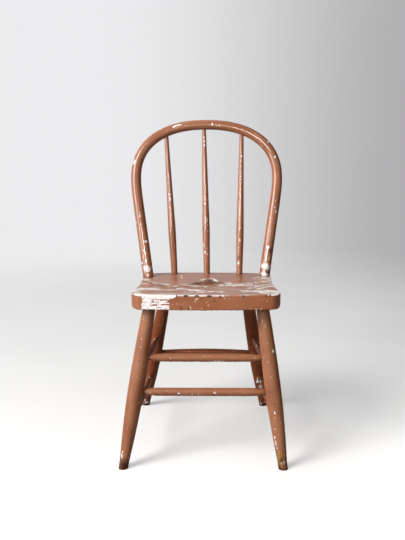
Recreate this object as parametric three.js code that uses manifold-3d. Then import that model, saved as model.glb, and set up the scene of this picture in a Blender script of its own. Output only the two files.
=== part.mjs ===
// Child's hoop-back chair in painted wood: a plank seat, a bent bow with three turned spindles,
// four splayed legs and seven turned stretchers.
// Millimetres, +Z up. The front of the chair faces -Y. Left and right are the viewer's.
import * as THREE from 'three';
import { mergeVertices } from 'three/addons/utils/BufferGeometryUtils.js';
import Module from 'manifold-3d';

const wasm = await Module();
wasm.setup();

// Room round every pin in its socket, and under the bow's shoulders
const CLEARANCE = 0.3;

// Seat plank
const SEAT_WIDTH = 300;
const SEAT_DEPTH = 305;
const SEAT_THICKNESS = 31;
const SEAT_HEIGHT = 350; // top of the front edge above the floor
const SEAT_FALL = 1.35; // degrees that the seat drops towards the back
const SEAT_EDGE_EASE = 3;
const SEAT_UNDERCUT_RADIUS = 12; // rounding under the two side edges
const FRONT_BOWING = 10; // how far the front edge curves back at its ends
const FRONT_CORNER_RADIUS = 24;
const WAIST_DEPTH = 5.5; // how far each side pulls in
const WAIST_FROM_FRONT = 145;
const REAR_CORNER_RADIUS = 44;
const REAR_BOWING = 12; // how far the rear edge curves forward at its ends

// Legs, with their splay outwards and their rake fore or aft in degrees
const LEG_TOP_DIAMETER = 26;
const LEG_SWELL_DIAMETER = 33;
const LEG_FOOT_DIAMETER = 19.5;
const LEG_SWELL_HEIGHT = 165;
const LEG_ANKLE_HEIGHT = 12;
const LEG_PIN_DEPTH = 21;
const FRONT_LEG = { fromSide: 35, fromEdge: 52, splay: 8.15, rake: 13.1 };
const REAR_LEG = { fromSide: 57.5, fromEdge: 67.5, splay: 10, rake: 16.6 };
const FRAME_LEAN = 0.9; // degrees that the old frame has racked to the left

// Stretchers, by the height of their axes above the floor
const FRONT_UPPER_HEIGHT = 215;
const FRONT_LOWER_HEIGHT = 148;
const SIDE_UPPER_HEIGHT = 192;
const SIDE_LOWER_HEIGHT = 88;
const REAR_HEIGHT = 150;
const STRETCHER_PIN_DIAMETER = 11;
const STRETCHER_PIN_DEPTH = 13;
const FRONT_STRETCHER_DIAMETER = 16.8;
const FRONT_STRETCHER_TAPER = 34; // length of each tapered end outside the leg
const SWELLED_STRETCHER_DIAMETER = 17.5;

// Bow, measured in its own leaning plane from the top of the seat
const BOW_LEAN = 13; // degrees back from upright
const BOW_HEIGHT = 355;
const BOW_SHOULDER_HEIGHT = 229; // where the bow is widest
const BOW_BULGE = 30.3; // how much wider each side is there than at its foot
const BOW_FOOT_SPLAY = 7.9; // degrees outwards
const BOW_CROWN_FULLNESS = 2.3; // exponent of the crown's curve, where 2 is an ellipse
const BOW_FOOT_DIAMETER = 25;
const BOW_CROWN_DIAMETER = 23;
const BOW_FROM_REAR = 61;
const BOW_FROM_SIDE = 14.2;
const BOW_PIN_DIAMETER = 16;
const BOW_PIN_DEPTH = 20;

// Spindles, whose holes sit a little off the middle of the seat and of the bow
const SPINDLE_SPACING_AT_SEAT = 76.6;
const SPINDLE_SPACING_AT_BOW = 88.5;
const SPINDLE_DRIFT_AT_SEAT = 1.3;
const SPINDLE_DRIFT_AT_BOW = -6.3;
const SPINDLE_FROM_REAR = 19;
const SPINDLE_FOOT_DIAMETER = 15.2;
const SPINDLE_SWELL_DIAMETER = 17.9;
const SPINDLE_TOP_DIAMETER = 10;
const SPINDLE_SWELL_HEIGHT = 104;
const SPINDLE_PIN_DEPTH = 18;
const SPINDLE_PIN_IN_BOW = 13;

// Small chamfer on the blind end of every pin
const PIN_CHAMFER = 1.2;

// Fineness of the curved faces
const LEG_SIDES = 24;
const ROD_SIDES = 18;
const BOW_SIDES = 20;
const BOW_SIDE_STEPS = 12;
const BOW_CROWN_STEPS = 14;
const CORNER_STEPS = 6;

const QUARTER = Math.PI / 2;
const radians = THREE.MathUtils.degToRad;
const slopeOf = (angle) => Math.tan(radians(angle));

function paintedWood() {
  return new THREE.MeshStandardMaterial({ color: 0xa86f55, roughness: 0.42, metalness: 0 });
}

// Evenly spaced values from a to b, both included
function steps(a, b, count) {
  return Array.from({ length: count + 1 }, (_, i) => a + ((b - a) * i) / count);
}

// A closed geometry, moved by a matrix, as a solid that can be cut and joined
function solidOf(geometry, matrix = new THREE.Matrix4()) {
  const bare = geometry.clone();
  bare.deleteAttribute('normal');
  bare.deleteAttribute('uv');
  bare.applyMatrix4(matrix);
  const merged = mergeVertices(bare);
  const corners = merged.index.array;
  const triVerts = [];
  for (let i = 0; i < corners.length; i += 3) {
    const [a, b, c] = corners.slice(i, i + 3);
    const collapsed = a === b || b === c || c === a;
    if (!collapsed) triVerts.push(a, b, c);
  }
  return new wasm.Manifold(new wasm.Mesh({
    numProp: 3,
    vertProperties: Float32Array.from(merged.attributes.position.array),
    triVerts: Uint32Array.from(triVerts),
  }));
}

// A piece is a named solid in its own frame, with the matrix that places it in the chair
function makePiece(name, matrix, geometry) {
  return { name, matrix, solid: solidOf(geometry) };
}

function cut(piece, geometry, matrix) {
  const local = piece.matrix.clone().invert().multiply(matrix);
  piece.solid = piece.solid.subtract(solidOf(geometry, local));
}

function join(piece, geometry, matrix) {
  const local = piece.matrix.clone().invert().multiply(matrix);
  piece.solid = piece.solid.add(solidOf(geometry, local));
}

function meshOf({ name, matrix, solid }) {
  const { vertProperties, triVerts } = solid.getMesh();
  const geometry = new THREE.BufferGeometry();
  geometry.setAttribute('position', new THREE.BufferAttribute(vertProperties, 3));
  geometry.setIndex(new THREE.BufferAttribute(triVerts, 1));
  geometry.computeVertexNormals();
  const mesh = new THREE.Mesh(geometry, paintedWood());
  mesh.name = name;
  matrix.decompose(mesh.position, mesh.quaternion, mesh.scale);
  return mesh;
}

// A frame whose Y axis runs from one point towards another, as work is held in a lathe
function latheFrame(from, to) {
  const along = to.clone().sub(from).normalize();
  const turn = new THREE.Quaternion().setFromUnitVectors(new THREE.Vector3(0, 1, 0), along);
  return new THREE.Matrix4().compose(from, turn, new THREE.Vector3(1, 1, 1));
}

// Revolved body through stations of distance and diameter, made larger all round by grow
function turning(stations, sides, grow = 0) {
  const profile = stations.map(([distance, diameter]) => new THREE.Vector2(diameter / 2 + grow, distance));
  const first = profile[0];
  const last = profile[profile.length - 1];
  first.y -= grow;
  last.y += grow;
  const closed = [new THREE.Vector2(0, first.y), ...profile, new THREE.Vector2(0, last.y)];
  return new THREE.LatheGeometry(closed, sides);
}

// A turned piece between two points, with the cutter for the sockets that its ends sit in
function makeTurned(name, from, to, stations, sides) {
  const piece = makePiece(name, latheFrame(from, to), turning(stations, sides));
  piece.cutter = turning(stations, sides, CLEARANCE);
  return piece;
}

function cutSocket(carrier, turned) {
  cut(carrier, turned.cutter, turned.matrix);
}

// Two stations that chamfer the blind end of a pin
function pinEnd(distance, diameter) {
  return [
    [distance - PIN_CHAMFER, diameter],
    [distance, diameter - 2 * PIN_CHAMFER],
  ];
}

// The seat's own frame has its origin on the front edge, in the middle of the top face
const seatMatrix = new THREE.Matrix4()
  .makeTranslation(0, 0, SEAT_HEIGHT)
  .multiply(new THREE.Matrix4().makeRotationX(-radians(SEAT_FALL)));

function onSeat(x, y, below = 0) {
  return new THREE.Vector3(x, y, -below).applyMatrix4(seatMatrix);
}

function frontEdge(x) {
  return FRONT_BOWING * (x / (SEAT_WIDTH / 2)) ** 2;
}

function rearEdge(x) {
  return SEAT_DEPTH - REAR_BOWING * (x / (SEAT_WIDTH / 2)) ** 2;
}

// Half width of the waisted seat at a distance behind its front edge
function halfWidth(y) {
  const reach = y < WAIST_FROM_FRONT ? WAIST_FROM_FRONT : SEAT_DEPTH - WAIST_FROM_FRONT;
  const away = Math.min(1, Math.abs(y - WAIST_FROM_FRONT) / reach);
  return SEAT_WIDTH / 2 - WAIST_DEPTH * Math.cos(away * QUARTER) ** 2;
}

// Quarter round that leaves its first point sideways and reaches its last one lengthwise
function cornerPoints(from, to) {
  return steps(0, QUARTER, CORNER_STEPS).map((turn) => [
    from[0] + (to[0] - from[0]) * Math.sin(turn),
    from[1] + (to[1] - from[1]) * (1 - Math.cos(turn)),
  ]);
}

// Plan of the seat: bowed front and rear edges, round corners and waisted sides
function seatOutline() {
  const frontFlat = SEAT_WIDTH / 2 - FRONT_CORNER_RADIUS;
  const sideStart = frontEdge(frontFlat) + FRONT_CORNER_RADIUS;
  const sideEnd = SEAT_DEPTH - REAR_BOWING - REAR_CORNER_RADIUS;
  const rearFlat = halfWidth(sideEnd) - REAR_CORNER_RADIUS;
  const rightSide = [
    ...steps(0, frontFlat, 4).slice(0, -1).map((x) => [x, frontEdge(x)]),
    ...cornerPoints([frontFlat, frontEdge(frontFlat)], [halfWidth(sideStart), sideStart]),
    ...steps(sideStart, sideEnd, 9).slice(1, -1).map((y) => [halfWidth(y), y]),
    ...cornerPoints([rearFlat, rearEdge(rearFlat)], [halfWidth(sideEnd), sideEnd]).reverse(),
    ...steps(rearFlat, 0, 4).slice(1).map((x) => [x, rearEdge(x)]),
  ];
  const leftSide = rightSide.slice(1, -1).reverse().map(([x, y]) => [-x, y]);
  return new THREE.Shape([...rightSide, ...leftSide].map(([x, y]) => new THREE.Vector2(x, y)));
}

// Section across the plank, square above and rounded under its side edges
function undercutSection() {
  const half = SEAT_WIDTH / 2;
  const radius = SEAT_UNDERCUT_RADIUS;
  const centre = radius - SEAT_THICKNESS;
  const section = new THREE.Shape();
  section.moveTo(half, radius);
  section.lineTo(-half, radius);
  section.absarc(radius - half, centre, radius, 2 * QUARTER, 3 * QUARTER);
  section.absarc(half - radius, centre, radius, 3 * QUARTER, 4 * QUARTER);
  return section;
}

function makeSeat() {
  const plank = new THREE.ExtrudeGeometry(seatOutline(), {
    depth: SEAT_THICKNESS - 2 * SEAT_EDGE_EASE,
    bevelThickness: SEAT_EDGE_EASE,
    bevelSize: SEAT_EDGE_EASE,
    bevelOffset: -SEAT_EDGE_EASE,
    bevelSegments: 2,
  });
  plank.translate(0, 0, SEAT_EDGE_EASE - SEAT_THICKNESS);
  const section = new THREE.ExtrudeGeometry(undercutSection(), {
    depth: SEAT_DEPTH + 2 * SEAT_EDGE_EASE,
    bevelEnabled: false,
    curveSegments: 5,
  });
  section.rotateX(QUARTER);
  section.translate(0, SEAT_DEPTH + SEAT_EDGE_EASE, 0);
  const seat = makePiece('seat', seatMatrix, plank);
  seat.solid = seat.solid.intersect(solidOf(section));
  return seat;
}

// Diameter of a leg at a distance from the floor along its axis
function legDiameter(distance, length) {
  if (distance < LEG_SWELL_HEIGHT) {
    const t = Math.max(0, (distance - LEG_ANKLE_HEIGHT) / (LEG_SWELL_HEIGHT - LEG_ANKLE_HEIGHT));
    return LEG_FOOT_DIAMETER + (LEG_SWELL_DIAMETER - LEG_FOOT_DIAMETER) * Math.sin(t * QUARTER);
  }
  const t = Math.min(1, (distance - LEG_SWELL_HEIGHT) / (length - LEG_SWELL_HEIGHT));
  return LEG_TOP_DIAMETER + (LEG_SWELL_DIAMETER - LEG_TOP_DIAMETER) * Math.cos(t * QUARTER);
}

// A leg runs from below the floor, where it is sawn off level, to a blind socket in the seat
function makeLeg(name, seat, place, side, aft) {
  const back = aft ? SEAT_DEPTH - place.fromEdge : place.fromEdge;
  const top = onSeat(side * (SEAT_WIDTH / 2 - place.fromSide), back, SEAT_THICKNESS);
  const outwards = side * slopeOf(place.splay) - slopeOf(FRAME_LEAN);
  const backwards = aft ? slopeOf(place.rake) : -slopeOf(place.rake);
  const foot = new THREE.Vector3(outwards, backwards, -1).multiplyScalar(top.z).add(top);
  const length = foot.distanceTo(top);
  const spare = LEG_FOOT_DIAMETER / 2;
  const shaped = [
    ...steps(LEG_ANKLE_HEIGHT, LEG_SWELL_HEIGHT, 7).slice(0, -1),
    ...steps(LEG_SWELL_HEIGHT, length, 6),
  ];
  const stations = [
    [0, LEG_FOOT_DIAMETER],
    ...shaped.map((distance) => [spare + distance, legDiameter(distance, length)]),
    ...pinEnd(spare + length + LEG_PIN_DEPTH, LEG_TOP_DIAMETER),
  ];
  const along = top.clone().sub(foot).normalize();
  const start = foot.clone().addScaledVector(along, -spare);
  const leg = makeTurned(name, start, top, stations, LEG_SIDES);
  const ground = new THREE.BoxGeometry(8 * spare, 8 * spare, 2 * spare);
  cut(leg, ground, new THREE.Matrix4().makeTranslation(foot.x, foot.y, -spare));
  cutSocket(seat, leg);
  return { ...leg, foot, top, length };
}

// Stations of a stretcher that thickens from each pin over the length of its taper
function stretcherStations(length, diameter, taper) {
  const rise = diameter - STRETCHER_PIN_DIAMETER;
  const reach = Math.min(taper, length / 2 - STRETCHER_PIN_DEPTH);
  const end = steps(0, 1, 5).map((t) => [
    STRETCHER_PIN_DEPTH + t * reach,
    STRETCHER_PIN_DIAMETER + rise * Math.sin(t * QUARTER),
  ]);
  const otherEnd = end.map(([distance, thickness]) => [length - distance, thickness]).reverse();
  return [[0, STRETCHER_PIN_DIAMETER], ...end, ...otherEnd, [length, STRETCHER_PIN_DIAMETER]];
}

// A stretcher joins two legs at one height, with each pin the same depth in its leg
function makeStretcher(name, legA, legB, height, diameter, taper = Infinity) {
  const [a, b] = [legA, legB].map((leg) => leg.foot.clone().lerp(leg.top, height / leg.top.z));
  const [inA, inB] = [legA, legB].map((leg) => {
    const distance = (height / leg.top.z) * leg.length;
    return STRETCHER_PIN_DEPTH - legDiameter(distance, leg.length) / 2;
  });
  const along = b.clone().sub(a).normalize();
  a.addScaledVector(along, -inA);
  b.addScaledVector(along, inB);
  const stations = stretcherStations(a.distanceTo(b), diameter, taper);
  const stretcher = makeTurned(name, a, b, stations, ROD_SIDES);
  cutSocket(legA, stretcher);
  cutSocket(legB, stretcher);
  return stretcher;
}

// The bow's own frame stands on the seat, midway between the bow's feet, and leans with the bow
const bowFromFront = SEAT_DEPTH - BOW_FROM_REAR;
const bowFoot = onSeat(0, bowFromFront);
const bowMatrix = new THREE.Matrix4()
  .makeTranslation(bowFoot.x, bowFoot.y, bowFoot.z)
  .multiply(new THREE.Matrix4().makeRotationX(-radians(BOW_LEAN)));
const bowFootHalf = halfWidth(bowFromFront) - BOW_FROM_SIDE;
const bowHalf = bowFootHalf + BOW_BULGE;
const crownRise = BOW_HEIGHT - BOW_SHOULDER_HEIGHT;

// Height of the bow's middle line above the seat where the crown passes x
function crownHeight(x) {
  const share = Math.abs(x / bowHalf) ** BOW_CROWN_FULLNESS;
  return BOW_SHOULDER_HEIGHT + crownRise * (1 - share) ** (1 / BOW_CROWN_FULLNESS);
}

// Middle line of the bow: straight splayed feet, a bulge to the shoulders and a full round crown
function bowLine(below) {
  const splay = slopeOf(BOW_FOOT_SPLAY);
  const straight = 0.65 * BOW_SHOULDER_HEIGHT;
  const side = new THREE.CubicBezierCurve(
    new THREE.Vector2(bowFootHalf, 0),
    new THREE.Vector2(bowFootHalf + splay * straight, straight),
    new THREE.Vector2(bowHalf, 0.87 * BOW_SHOULDER_HEIGHT),
    new THREE.Vector2(bowHalf, BOW_SHOULDER_HEIGHT),
  );
  const power = 2 / BOW_CROWN_FULLNESS;
  const crown = steps(0, QUARTER, BOW_CROWN_STEPS).slice(1, -1).map((turn) => new THREE.Vector2(
    bowHalf * Math.cos(turn) ** power,
    BOW_SHOULDER_HEIGHT + crownRise * Math.sin(turn) ** power,
  ));
  const under = new THREE.Vector2(bowFootHalf - below * splay, -below);
  const right = [under, ...side.getPoints(BOW_SIDE_STEPS), ...crown];
  const left = right.map(({ x, y }) => new THREE.Vector2(-x, y)).reverse();
  return [...right, new THREE.Vector2(0, BOW_HEIGHT), ...left];
}

// A rod of changing thickness bent along a line in the XZ plane, closed at both ends
function bentRod(line, diameterAt, sides) {
  const positions = [];
  const index = [];
  const last = line.length - 1;
  line.forEach((centre, i) => {
    const ahead = line[Math.min(last, i + 1)];
    const behind = line[Math.max(0, i - 1)];
    const across = ahead.clone().sub(behind).normalize().rotateAround(new THREE.Vector2(), -QUARTER);
    const radius = diameterAt(i / last) / 2;
    for (let j = 0; j < sides; j += 1) {
      const turn = (j / sides) * 4 * QUARTER;
      const reach = radius * Math.cos(turn);
      positions.push(centre.x + across.x * reach, radius * Math.sin(turn), centre.y + across.y * reach);
      const [here, beside] = [i * sides + j, i * sides + ((j + 1) % sides)];
      if (i < last) index.push(here, beside, beside + sides, here, beside + sides, here + sides);
    }
  });
  const caps = positions.length / 3;
  positions.push(line[0].x, 0, line[0].y, line[last].x, 0, line[last].y);
  for (let j = 0; j < sides; j += 1) {
    const next = (j + 1) % sides;
    index.push(caps, next, j, caps + 1, last * sides + j, last * sides + next);
  }
  const rod = new THREE.BufferGeometry();
  rod.setAttribute('position', new THREE.Float32BufferAttribute(positions, 3));
  rod.setIndex(index);
  return rod;
}

// The bow stands on the seat by its shoulders, and a pin under each foot enters the seat
function makeBow(seat) {
  const slim = (share) => {
    const fromFoot = 1 - Math.abs(2 * share - 1);
    return BOW_FOOT_DIAMETER + (BOW_CROWN_DIAMETER - BOW_FOOT_DIAMETER) * fromFoot;
  };
  const bow = makePiece('bow', bowMatrix, bentRod(bowLine(BOW_FOOT_DIAMETER / 2), slim, BOW_SIDES));
  const seatBlock = new THREE.BoxGeometry(2 * SEAT_WIDTH, SEAT_DEPTH, 2 * SEAT_THICKNESS);
  seatBlock.translate(0, bowFromFront, CLEARANCE - SEAT_THICKNESS);
  cut(bow, seatBlock, seatMatrix);
  const rootedIn = BOW_PIN_DIAMETER / 2;
  const stations = [
    [0, BOW_PIN_DIAMETER],
    ...pinEnd(rootedIn + BOW_PIN_DEPTH, BOW_PIN_DIAMETER),
  ];
  for (const side of [-1, 1]) {
    const foot = new THREE.Vector3(side * bowFootHalf, 0, 0);
    const up = new THREE.Vector3(side * slopeOf(BOW_FOOT_SPLAY), 0, 1).normalize();
    const root = foot.clone().addScaledVector(up, rootedIn);
    const matrix = bowMatrix.clone().multiply(latheFrame(root, foot));
    join(bow, turning(stations, ROD_SIDES), matrix);
    cut(seat, turning(stations, ROD_SIDES, CLEARANCE), matrix);
  }
  return bow;
}

// Diameter of a spindle at a distance above the seat
function spindleDiameter(distance, length) {
  if (distance < SPINDLE_SWELL_HEIGHT) {
    const rise = Math.sin(Math.max(0, distance / SPINDLE_SWELL_HEIGHT) * QUARTER) ** 2;
    return SPINDLE_FOOT_DIAMETER + rise * (SPINDLE_SWELL_DIAMETER - SPINDLE_FOOT_DIAMETER);
  }
  const left = 1 - (distance - SPINDLE_SWELL_HEIGHT) / (length - SPINDLE_SWELL_HEIGHT);
  return SPINDLE_TOP_DIAMETER + left ** 1.1 * (SPINDLE_SWELL_DIAMETER - SPINDLE_TOP_DIAMETER);
}

// A spindle stands in the seat near its rear edge, and its slim top enters the bow from below
function makeSpindle(name, row, seat, bow) {
  const x = SPINDLE_DRIFT_AT_SEAT + row * SPINDLE_SPACING_AT_SEAT;
  const base = onSeat(x, rearEdge(x) - SPINDLE_FROM_REAR);
  const xAtBow = SPINDLE_DRIFT_AT_BOW + row * SPINDLE_SPACING_AT_BOW;
  const middle = new THREE.Vector3(xAtBow, 0, crownHeight(xAtBow)).applyMatrix4(bowMatrix);
  const along = middle.clone().sub(base).normalize();
  const visible = base.distanceTo(middle) - BOW_CROWN_DIAMETER / 2;
  const shaped = [
    ...steps(0, SPINDLE_SWELL_HEIGHT, 4).slice(0, -1),
    ...steps(SPINDLE_SWELL_HEIGHT, visible, 5),
  ];
  const stations = [
    [0, SPINDLE_FOOT_DIAMETER],
    ...shaped.map((distance) => [SPINDLE_PIN_DEPTH + distance, spindleDiameter(distance, visible)]),
    ...pinEnd(SPINDLE_PIN_DEPTH + visible + SPINDLE_PIN_IN_BOW, SPINDLE_TOP_DIAMETER),
  ];
  const start = base.clone().addScaledVector(along, -SPINDLE_PIN_DEPTH);
  const spindle = makeTurned(name, start, middle, stations, ROD_SIDES);
  cutSocket(seat, spindle);
  cutSocket(bow, spindle);
  return spindle;
}

function makeChair() {
  const seat = makeSeat();
  const frontLeft = makeLeg('leg_front_left', seat, FRONT_LEG, -1, false);
  const frontRight = makeLeg('leg_front_right', seat, FRONT_LEG, 1, false);
  const rearLeft = makeLeg('leg_rear_left', seat, REAR_LEG, -1, true);
  const rearRight = makeLeg('leg_rear_right', seat, REAR_LEG, 1, true);
  const legs = [frontLeft, frontRight, rearLeft, rearRight];
  const [straight, taper, swelled] = [FRONT_STRETCHER_DIAMETER, FRONT_STRETCHER_TAPER, SWELLED_STRETCHER_DIAMETER];
  const stretchers = [
    makeStretcher('stretcher_front_upper', frontLeft, frontRight, FRONT_UPPER_HEIGHT, straight, taper),
    makeStretcher('stretcher_front_lower', frontLeft, frontRight, FRONT_LOWER_HEIGHT, straight, taper),
    makeStretcher('stretcher_left_upper', frontLeft, rearLeft, SIDE_UPPER_HEIGHT, swelled),
    makeStretcher('stretcher_left_lower', frontLeft, rearLeft, SIDE_LOWER_HEIGHT, swelled),
    makeStretcher('stretcher_right_upper', frontRight, rearRight, SIDE_UPPER_HEIGHT, swelled),
    makeStretcher('stretcher_right_lower', frontRight, rearRight, SIDE_LOWER_HEIGHT, swelled),
    makeStretcher('stretcher_rear', rearLeft, rearRight, REAR_HEIGHT, swelled),
  ];
  const bow = makeBow(seat);
  const spindles = ['left', 'center', 'right'].map((name, i) => makeSpindle(`spindle_${name}`, i - 1, seat, bow));
  const chair = new THREE.Group();
  for (const piece of [seat, bow, ...spindles, ...legs, ...stretchers]) chair.add(meshOf(piece));
  return chair;
}

// The origin is on the floor, in the middle of the chair's box
const chair = makeChair();
const middle = new THREE.Box3().setFromObject(chair, true).getCenter(new THREE.Vector3());
chair.position.set(-middle.x, -middle.y, 0);

export default chair;
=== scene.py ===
"""Looks of the child's hoop-back chair in chipped brown paint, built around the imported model.

Everything is in the part's frame: +Z up, the front of the chair faces -Y, left and right are the
viewer's. Sizes in the tables are millimetres and degrees, as on a workshop drawing, and everything
that reaches Blender is in metres.
"""
import logging
import math
from collections.abc import Callable, Sequence
from dataclasses import dataclass, replace
from enum import Enum

import bpy
import numpy as np
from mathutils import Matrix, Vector
from mathutils.geometry import delaunay_2d_cdt


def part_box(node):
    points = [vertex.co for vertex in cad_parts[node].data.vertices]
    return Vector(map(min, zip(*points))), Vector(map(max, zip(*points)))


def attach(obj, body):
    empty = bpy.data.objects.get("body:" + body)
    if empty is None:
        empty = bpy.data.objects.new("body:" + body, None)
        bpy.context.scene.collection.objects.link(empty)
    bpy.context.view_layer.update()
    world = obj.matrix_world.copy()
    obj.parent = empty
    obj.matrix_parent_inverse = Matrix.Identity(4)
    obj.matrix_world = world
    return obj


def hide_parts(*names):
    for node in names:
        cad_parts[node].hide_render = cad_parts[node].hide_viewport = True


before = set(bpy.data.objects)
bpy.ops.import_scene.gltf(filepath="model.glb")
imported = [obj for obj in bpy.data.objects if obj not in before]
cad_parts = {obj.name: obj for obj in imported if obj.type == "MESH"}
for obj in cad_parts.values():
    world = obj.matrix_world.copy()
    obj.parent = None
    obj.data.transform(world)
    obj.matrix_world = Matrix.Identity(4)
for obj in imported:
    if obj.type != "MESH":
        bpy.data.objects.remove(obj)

LOG = logging.getLogger("chair")
MM = 0.001
QUARTER = math.pi / 2
ROOT = "root"
# Odd factors that scramble the whole numbers of a cell, and the 32 bits that they are kept in
HASH = (374761393, 668265263, 1442695041, 974634777, 1274126177)
WORD = 0xFFFFFFFF

Colour = tuple[float, float, float]
Field = np.ndarray
Socket = bpy.types.NodeSocket


# Small numeric helpers


def unit(vector: np.ndarray) -> np.ndarray:
    """Scales vectors along the last axis to length one."""
    return vector / np.linalg.norm(vector, axis=-1, keepdims=True)


def eased(t: Field) -> Field:
    """Smooth course from 0 to 1 that is level at both ends."""
    return t * t * (3.0 - 2.0 * t)


def ramp(value: Field, low: float, high: float) -> Field:
    """Smooth rise from 0 at low to 1 at high."""
    return eased(np.clip((value - low) / (high - low), 0.0, 1.0))


def bell(value: Field, centre: float, width: float) -> Field:
    """A smooth bump of height one around a centre."""
    return np.exp(-(((value - centre) / width) ** 2))


def spot(away: Field, size: float, highest: float) -> Field:
    """A round spot's field: one half at its size, and 0 from twice its size outwards."""
    return np.clip(1.0 - 0.5 * away / size, 0.0, highest)


def in_metres(x: Field, y: Field | float = 0.0, z: Field | float = 0.0) -> np.ndarray:
    """Points in metres from coordinates in millimetres."""
    return np.stack(np.broadcast_arrays(x, y, z), -1) * MM


def lattice(cells: np.ndarray, seed: int) -> Field:
    """Repeatable random values in 0 to 1 for whole-numbered cells.

    Args:
        cells: Whole numbers, three to a cell.
        seed: Picks one of many patterns.

    Returns:
        One value for each cell.
    """
    c = cells.astype(np.int64)
    h = (c[..., 0] * HASH[0] + c[..., 1] * HASH[1] + c[..., 2] * HASH[2] + seed * HASH[3]) & WORD
    h = ((h ^ (h >> 13)) * HASH[4]) & WORD
    return ((h ^ (h >> 16)) & WORD) / WORD


def smooth_noise(points: np.ndarray, size: float, seed: int) -> Field:
    """Value noise in 0 to 1 whose cells are size metres across.

    Args:
        points: Places in metres.
        size: Size of a cell in metres.
        seed: Picks one of many patterns.

    Returns:
        One value for each point.
    """
    scaled = points / size
    base = np.floor(scaled)
    t = eased(scaled - base)
    total = np.zeros(points.shape[:-1])
    for corner in np.ndindex(2, 2, 2):
        weight = np.prod(np.where(np.array(corner) == 1, t, 1.0 - t), axis=-1)
        total += weight * lattice(base + np.array(corner), seed)
    return total


def cloudy(points: np.ndarray, size: float, seed: int, octaves: int = 3) -> Field:
    """Layered noise in about 0 to 1, finer and weaker with each octave.

    Args:
        points: Places in metres.
        size: Size of a cell in metres.
        seed: Picks one of many patterns.
        octaves: How many layers are added up.

    Returns:
        One value for each point.
    """
    total = np.zeros(points.shape[:-1])
    weight = 0.0
    for octave in range(octaves):
        share = 0.5**octave
        total += share * smooth_noise(points, size * share, seed + 17 * octave)
        weight += share
    return total / weight


# Sizes of the chair, the same as the solids have


@dataclass(frozen=True)
class SeatSizes:
    """Millimetres of the seat plank, measured in its own tilted frame."""

    width: float = 300.0
    depth: float = 305.0
    thickness: float = 31.0
    height: float = 350.0
    fall: float = 1.35
    ease: float = 3.0
    undercut: float = 12.0
    front_bowing: float = 10.0
    front_corner: float = 24.0
    waist_depth: float = 5.5
    waist_from_front: float = 145.0
    rear_corner: float = 44.0
    rear_bowing: float = 12.0

    def front_edge(self, x: Field) -> Field:
        """Distance of the front edge behind its middle."""
        return self.front_bowing * (x / (self.width / 2)) ** 2

    def rear_edge(self, x: Field) -> Field:
        """Distance of the rear edge behind the front edge's middle."""
        return self.depth - self.rear_bowing * (x / (self.width / 2)) ** 2

    def half_width(self, y: Field) -> Field:
        """Half of the waisted width at a distance behind the front edge.

        Args:
            y: Millimetres behind the front edge's middle.

        Returns:
            Millimetres from the middle to the side.
        """
        reach = np.where(y < self.waist_from_front, self.waist_from_front, self.depth - self.waist_from_front)
        away = np.minimum(1.0, np.abs(y - self.waist_from_front) / reach)
        return self.width / 2 - self.waist_depth * np.cos(away * QUARTER) ** 2


@dataclass(frozen=True)
class LegSizes:
    """Millimetres and degrees of one pair of legs."""

    from_side: float
    from_edge: float
    splay: float
    rake: float
    aft: bool
    top_diameter: float = 26.0
    swell_diameter: float = 33.0
    foot_diameter: float = 19.5
    swell_height: float = 165.0
    ankle_height: float = 12.0

    def diameter(self, distance: Field, length: float) -> Field:
        """Diameter at a distance from the floor along the leg.

        Args:
            distance: Millimetres from the floor.
            length: Millimetres of the whole leg.

        Returns:
            Millimetres of thickness.
        """
        low = np.clip((distance - self.ankle_height) / (self.swell_height - self.ankle_height), 0, 1)
        high = np.clip((distance - self.swell_height) / (length - self.swell_height), 0, 1)
        below = self.foot_diameter + (self.swell_diameter - self.foot_diameter) * np.sin(low * QUARTER)
        above = self.top_diameter + (self.swell_diameter - self.top_diameter) * np.cos(high * QUARTER)
        return np.where(distance < self.swell_height, below, above)


@dataclass(frozen=True)
class StretcherSizes:
    """Millimetres of one kind of stretcher."""

    diameter: float
    taper: float = math.inf
    pin_diameter: float = 11.0
    pin_depth: float = 13.0

    def shape(self, distance: Field, length: float) -> Field:
        """Diameter at a distance along a stretcher of that length, its pins included.

        Args:
            distance: Millimetres from one end.
            length: Millimetres of the whole stretcher.

        Returns:
            Millimetres of thickness.
        """
        reach = min(self.taper, length / 2 - self.pin_depth)
        inward = np.minimum(distance, length - distance) - self.pin_depth
        share = np.clip(inward / reach, 0.0, 1.0)
        return self.pin_diameter + (self.diameter - self.pin_diameter) * np.sin(share * QUARTER)


@dataclass(frozen=True)
class BackSizes:
    """Millimetres and degrees of the bow and the spindles."""

    lean: float = 13.0
    height: float = 355.0
    shoulder: float = 229.0
    bulge: float = 30.3
    splay: float = 7.9
    fullness: float = 2.3
    foot_diameter: float = 25.0
    crown_diameter: float = 23.0
    from_rear: float = 61.0
    from_side: float = 14.2
    spacing_at_seat: float = 76.6
    spacing_at_bow: float = 88.5
    drift_at_seat: float = 1.3
    drift_at_bow: float = -6.3
    spindle_from_rear: float = 19.0
    spindle_foot: float = 15.2
    spindle_swell: float = 17.9
    spindle_top: float = 10.0
    spindle_swell_height: float = 104.0


SEAT = SeatSizes()
BACK = BackSizes()
FRONT_LEG = LegSizes(35.0, 52.0, 8.15, 13.1, aft=False)
REAR_LEG = LegSizes(57.5, 67.5, 10.0, 16.6, aft=True)
FRAME_LEAN = 0.9
STRAIGHT_STRETCHER = StretcherSizes(16.8, 34.0)
SWELLED_STRETCHER = StretcherSizes(17.5)


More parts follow.
